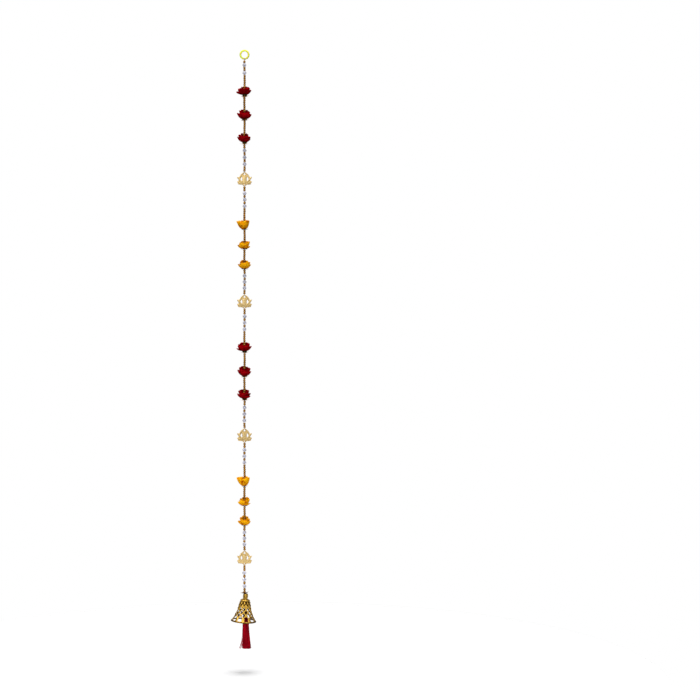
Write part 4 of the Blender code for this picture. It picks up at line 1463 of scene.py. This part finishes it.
# %% [markdown]
# The bound head hides where the threads start. It has a rounded top, and a waist where the binding pulls it
# in. Both pieces store how much light reaches them: none up in the bell, and more and more towards its
# mouth.

# %% Tassel head
HEAD_RADIUS = 3.9
WAIST = 0.38


def head_grid(rows=22, columns=48):
    """A turned shape: its radius rises round the top, falls to the waist, and closes under it."""
    t = np.linspace(0, 1, rows)[:, None]
    turn = np.arange(columns)[None, :] * 2 * np.pi / columns
    radius = HEAD_RADIUS * np.sqrt(np.clip(1 - (1 - t / 0.35).clip(0, 1) ** 2, 0.01, 1))
    radius = radius * (1 - WAIST * smooth_step((t - 0.45) / 0.45)) * (1 + 0.03 * np.cos(24 * turn))
    radius = np.concatenate([radius, np.full((1, columns), 0.4)]) * MM
    height = HEAD_TOP + 0.4 * MM - HEAD_TALL * np.concatenate([t, t[-1:]]) + 0 * turn
    return round_axis(radius, turn, height) + np.stack([aside(height), 0 * height, 0 * height], axis=-1)


head = grid_object("tassel_head", head_grid(), wrap_columns=True, size=(1.0, 0.1))
for piece, nodes in ((tassel, ["tassel"]), (head, [])):
    dress(close_shells(piece), tassel_finish, nodes)
    below = HEAD_FOOT - 3 * MM - points_of(piece.data)[:, 2]
    paint(piece, "height", smooth_step(below / (9 * MM)))
print("tassel from", round(HEAD_TOP, 4), "to", round(TASSEL_END, 4))

# %% [markdown]
# ## Studio
#
# The photo is a white product shot: level camera at the strand's middle, everything bright, and only a
# faint soft shadow on the floor under the tassel. The floor is a pale disc, small enough for the white
# world to take over before its edge could show as a line.

# %% Floor
FLOOR_Z = cad_box[0][2] - 40 * MM
FLOOR_RADIUS = 0.7


def studio_floor():
    bpy.ops.mesh.primitive_circle_add(vertices=128, radius=FLOOR_RADIUS, fill_type="NGON",
                                      location=(0, 0, FLOOR_Z))
    floor = bpy.context.active_object
    floor.name = "floor"
    finish = Finish("floor", Base_Color=(0.52, 0.52, 0.52), Roughness=0.9, Specular_IOR_Level=0.1)
    floor.data.materials.append(finish.material)


studio_floor()
print("floor at", round(FLOOR_Z, 4))

# %% [markdown]
# The world is white where the camera looks straight at it. In reflections it is grey below, white above and
# dark at both sides, so that metal and glass have something dark to reflect.

# %% World
SKY = ((0.3, (0.1, 0.1, 0.11)), (0.62, (0.8, 0.8, 0.81)))
DARK_SIDES = {"From Min": 0.4, "From Max": 0.9, "To Min": 1.0, "To Max": 0.12}


def studio_world():
    """Grey to white by height, times a shade that falls off towards both sides. The camera sees white."""
    world = bpy.data.worlds.new("studio")
    bpy.context.scene.world = world
    world.use_nodes = True
    nodes = Nodes(world.node_tree)
    place = nodes.add("ShaderNodeTexCoord", output="Generated")
    across, up = (nodes.add("ShaderNodeSeparateXYZ", None, {0: place}, axis) for axis in "XZ")
    sky = nodes.add("ShaderNodeValToRGB", {"stops": SKY}, {0: up * 0.5 + 0.5})
    shade = nodes.add("ShaderNodeMapRange", {"interpolation_type": "SMOOTHSTEP"},
                      {"Value": abs(across), **DARK_SIDES})
    around = nodes.add("ShaderNodeVectorMath", {"operation": "SCALE"}, {0: sky, "Scale": shade})
    seen = nodes.add("ShaderNodeLightPath", output="Is Camera Ray")
    nodes.put(world.node_tree.nodes["Background"], {"Color": nodes.blend(seen, around, (1.0, 1.0, 1.0)),
                                                    "Strength": 1.0})


studio_world()
print("world:", bpy.context.scene.world.name)

# %% [markdown]
# A large soft lamp high above lights the floor and throws the shadow. Two weaker ones in front, left and
# right, model the beads and the bell. Each is aimed at a point on the strand's axis.

# %% Lamps
MIDDLE_Z = (cad_box[0][2] + cad_box[1][2]) / 2
LAMPS = (
    # name, place, height aimed at, size, power in watts
    ("key", (-1.6, -1.9, 0.4), MIDDLE_Z, (1.2, 2.0), 26),
    ("fill", (1.9, -1.5, -0.2), MIDDLE_Z, (1.0, 1.6), 10),
    ("top", (0, 0.1, 5.0), FLOOR_Z, (2.8, 2.8), 510),
)


def area_light(name, place, aim, size, power):
    lamp = bpy.data.lights.new(name, "AREA")
    lamp.shape = "RECTANGLE"
    lamp.size, lamp.size_y = size
    lamp.energy = power
    obj = bpy.data.objects.new(name, lamp)
    bpy.context.scene.collection.objects.link(obj)
    obj.location = place
    obj.rotation_euler = (Vector((0, 0, aim)) - Vector(place)).to_track_quat("-Z", "Y").to_euler()


for row in LAMPS:
    area_light(*row)
print("lamps:", [row[0] for row in LAMPS])

# %% [markdown]
# ## Camera
#
# The strand stands left of the photo's middle and shows no perspective tilt, so the camera looks straight
# along +Y at mid height, from as far as keeps the small pieces near true scale. The photo's pixels say
# where: one is 1.67 mm at the strand, and the ring's top, 3 mm above the origin, lies in row 49.7.

# %% Camera and finish
PIXEL = 1.67 * MM
PHOTO_PIXELS = 700
STRAND_COLUMN = 244.5
RING_TOP_ROW = 49.7
RING_TOP_Z = 3.0 * MM
LENS = 79.0
SENSOR = 36.0
lens = bpy.data.cameras.new("camera")
lens.lens = LENS
lens.sensor_width = SENSOR
camera = bpy.data.objects.new("camera", lens)
bpy.context.scene.collection.objects.link(camera)
camera.location = ((PHOTO_PIXELS / 2 - STRAND_COLUMN) * PIXEL, -PHOTO_PIXELS * PIXEL * LENS / SENSOR,
                   RING_TOP_Z - (PHOTO_PIXELS / 2 - RING_TOP_ROW) * PIXEL)
camera.rotation_euler = (math.pi / 2, 0, 0)
bpy.context.scene.camera = camera
bpy.context.scene.view_settings.view_transform = "Standard"
bpy.context.scene.view_settings.look = "None"

print("cad box:", np.round(cad_box, 4).tolist())
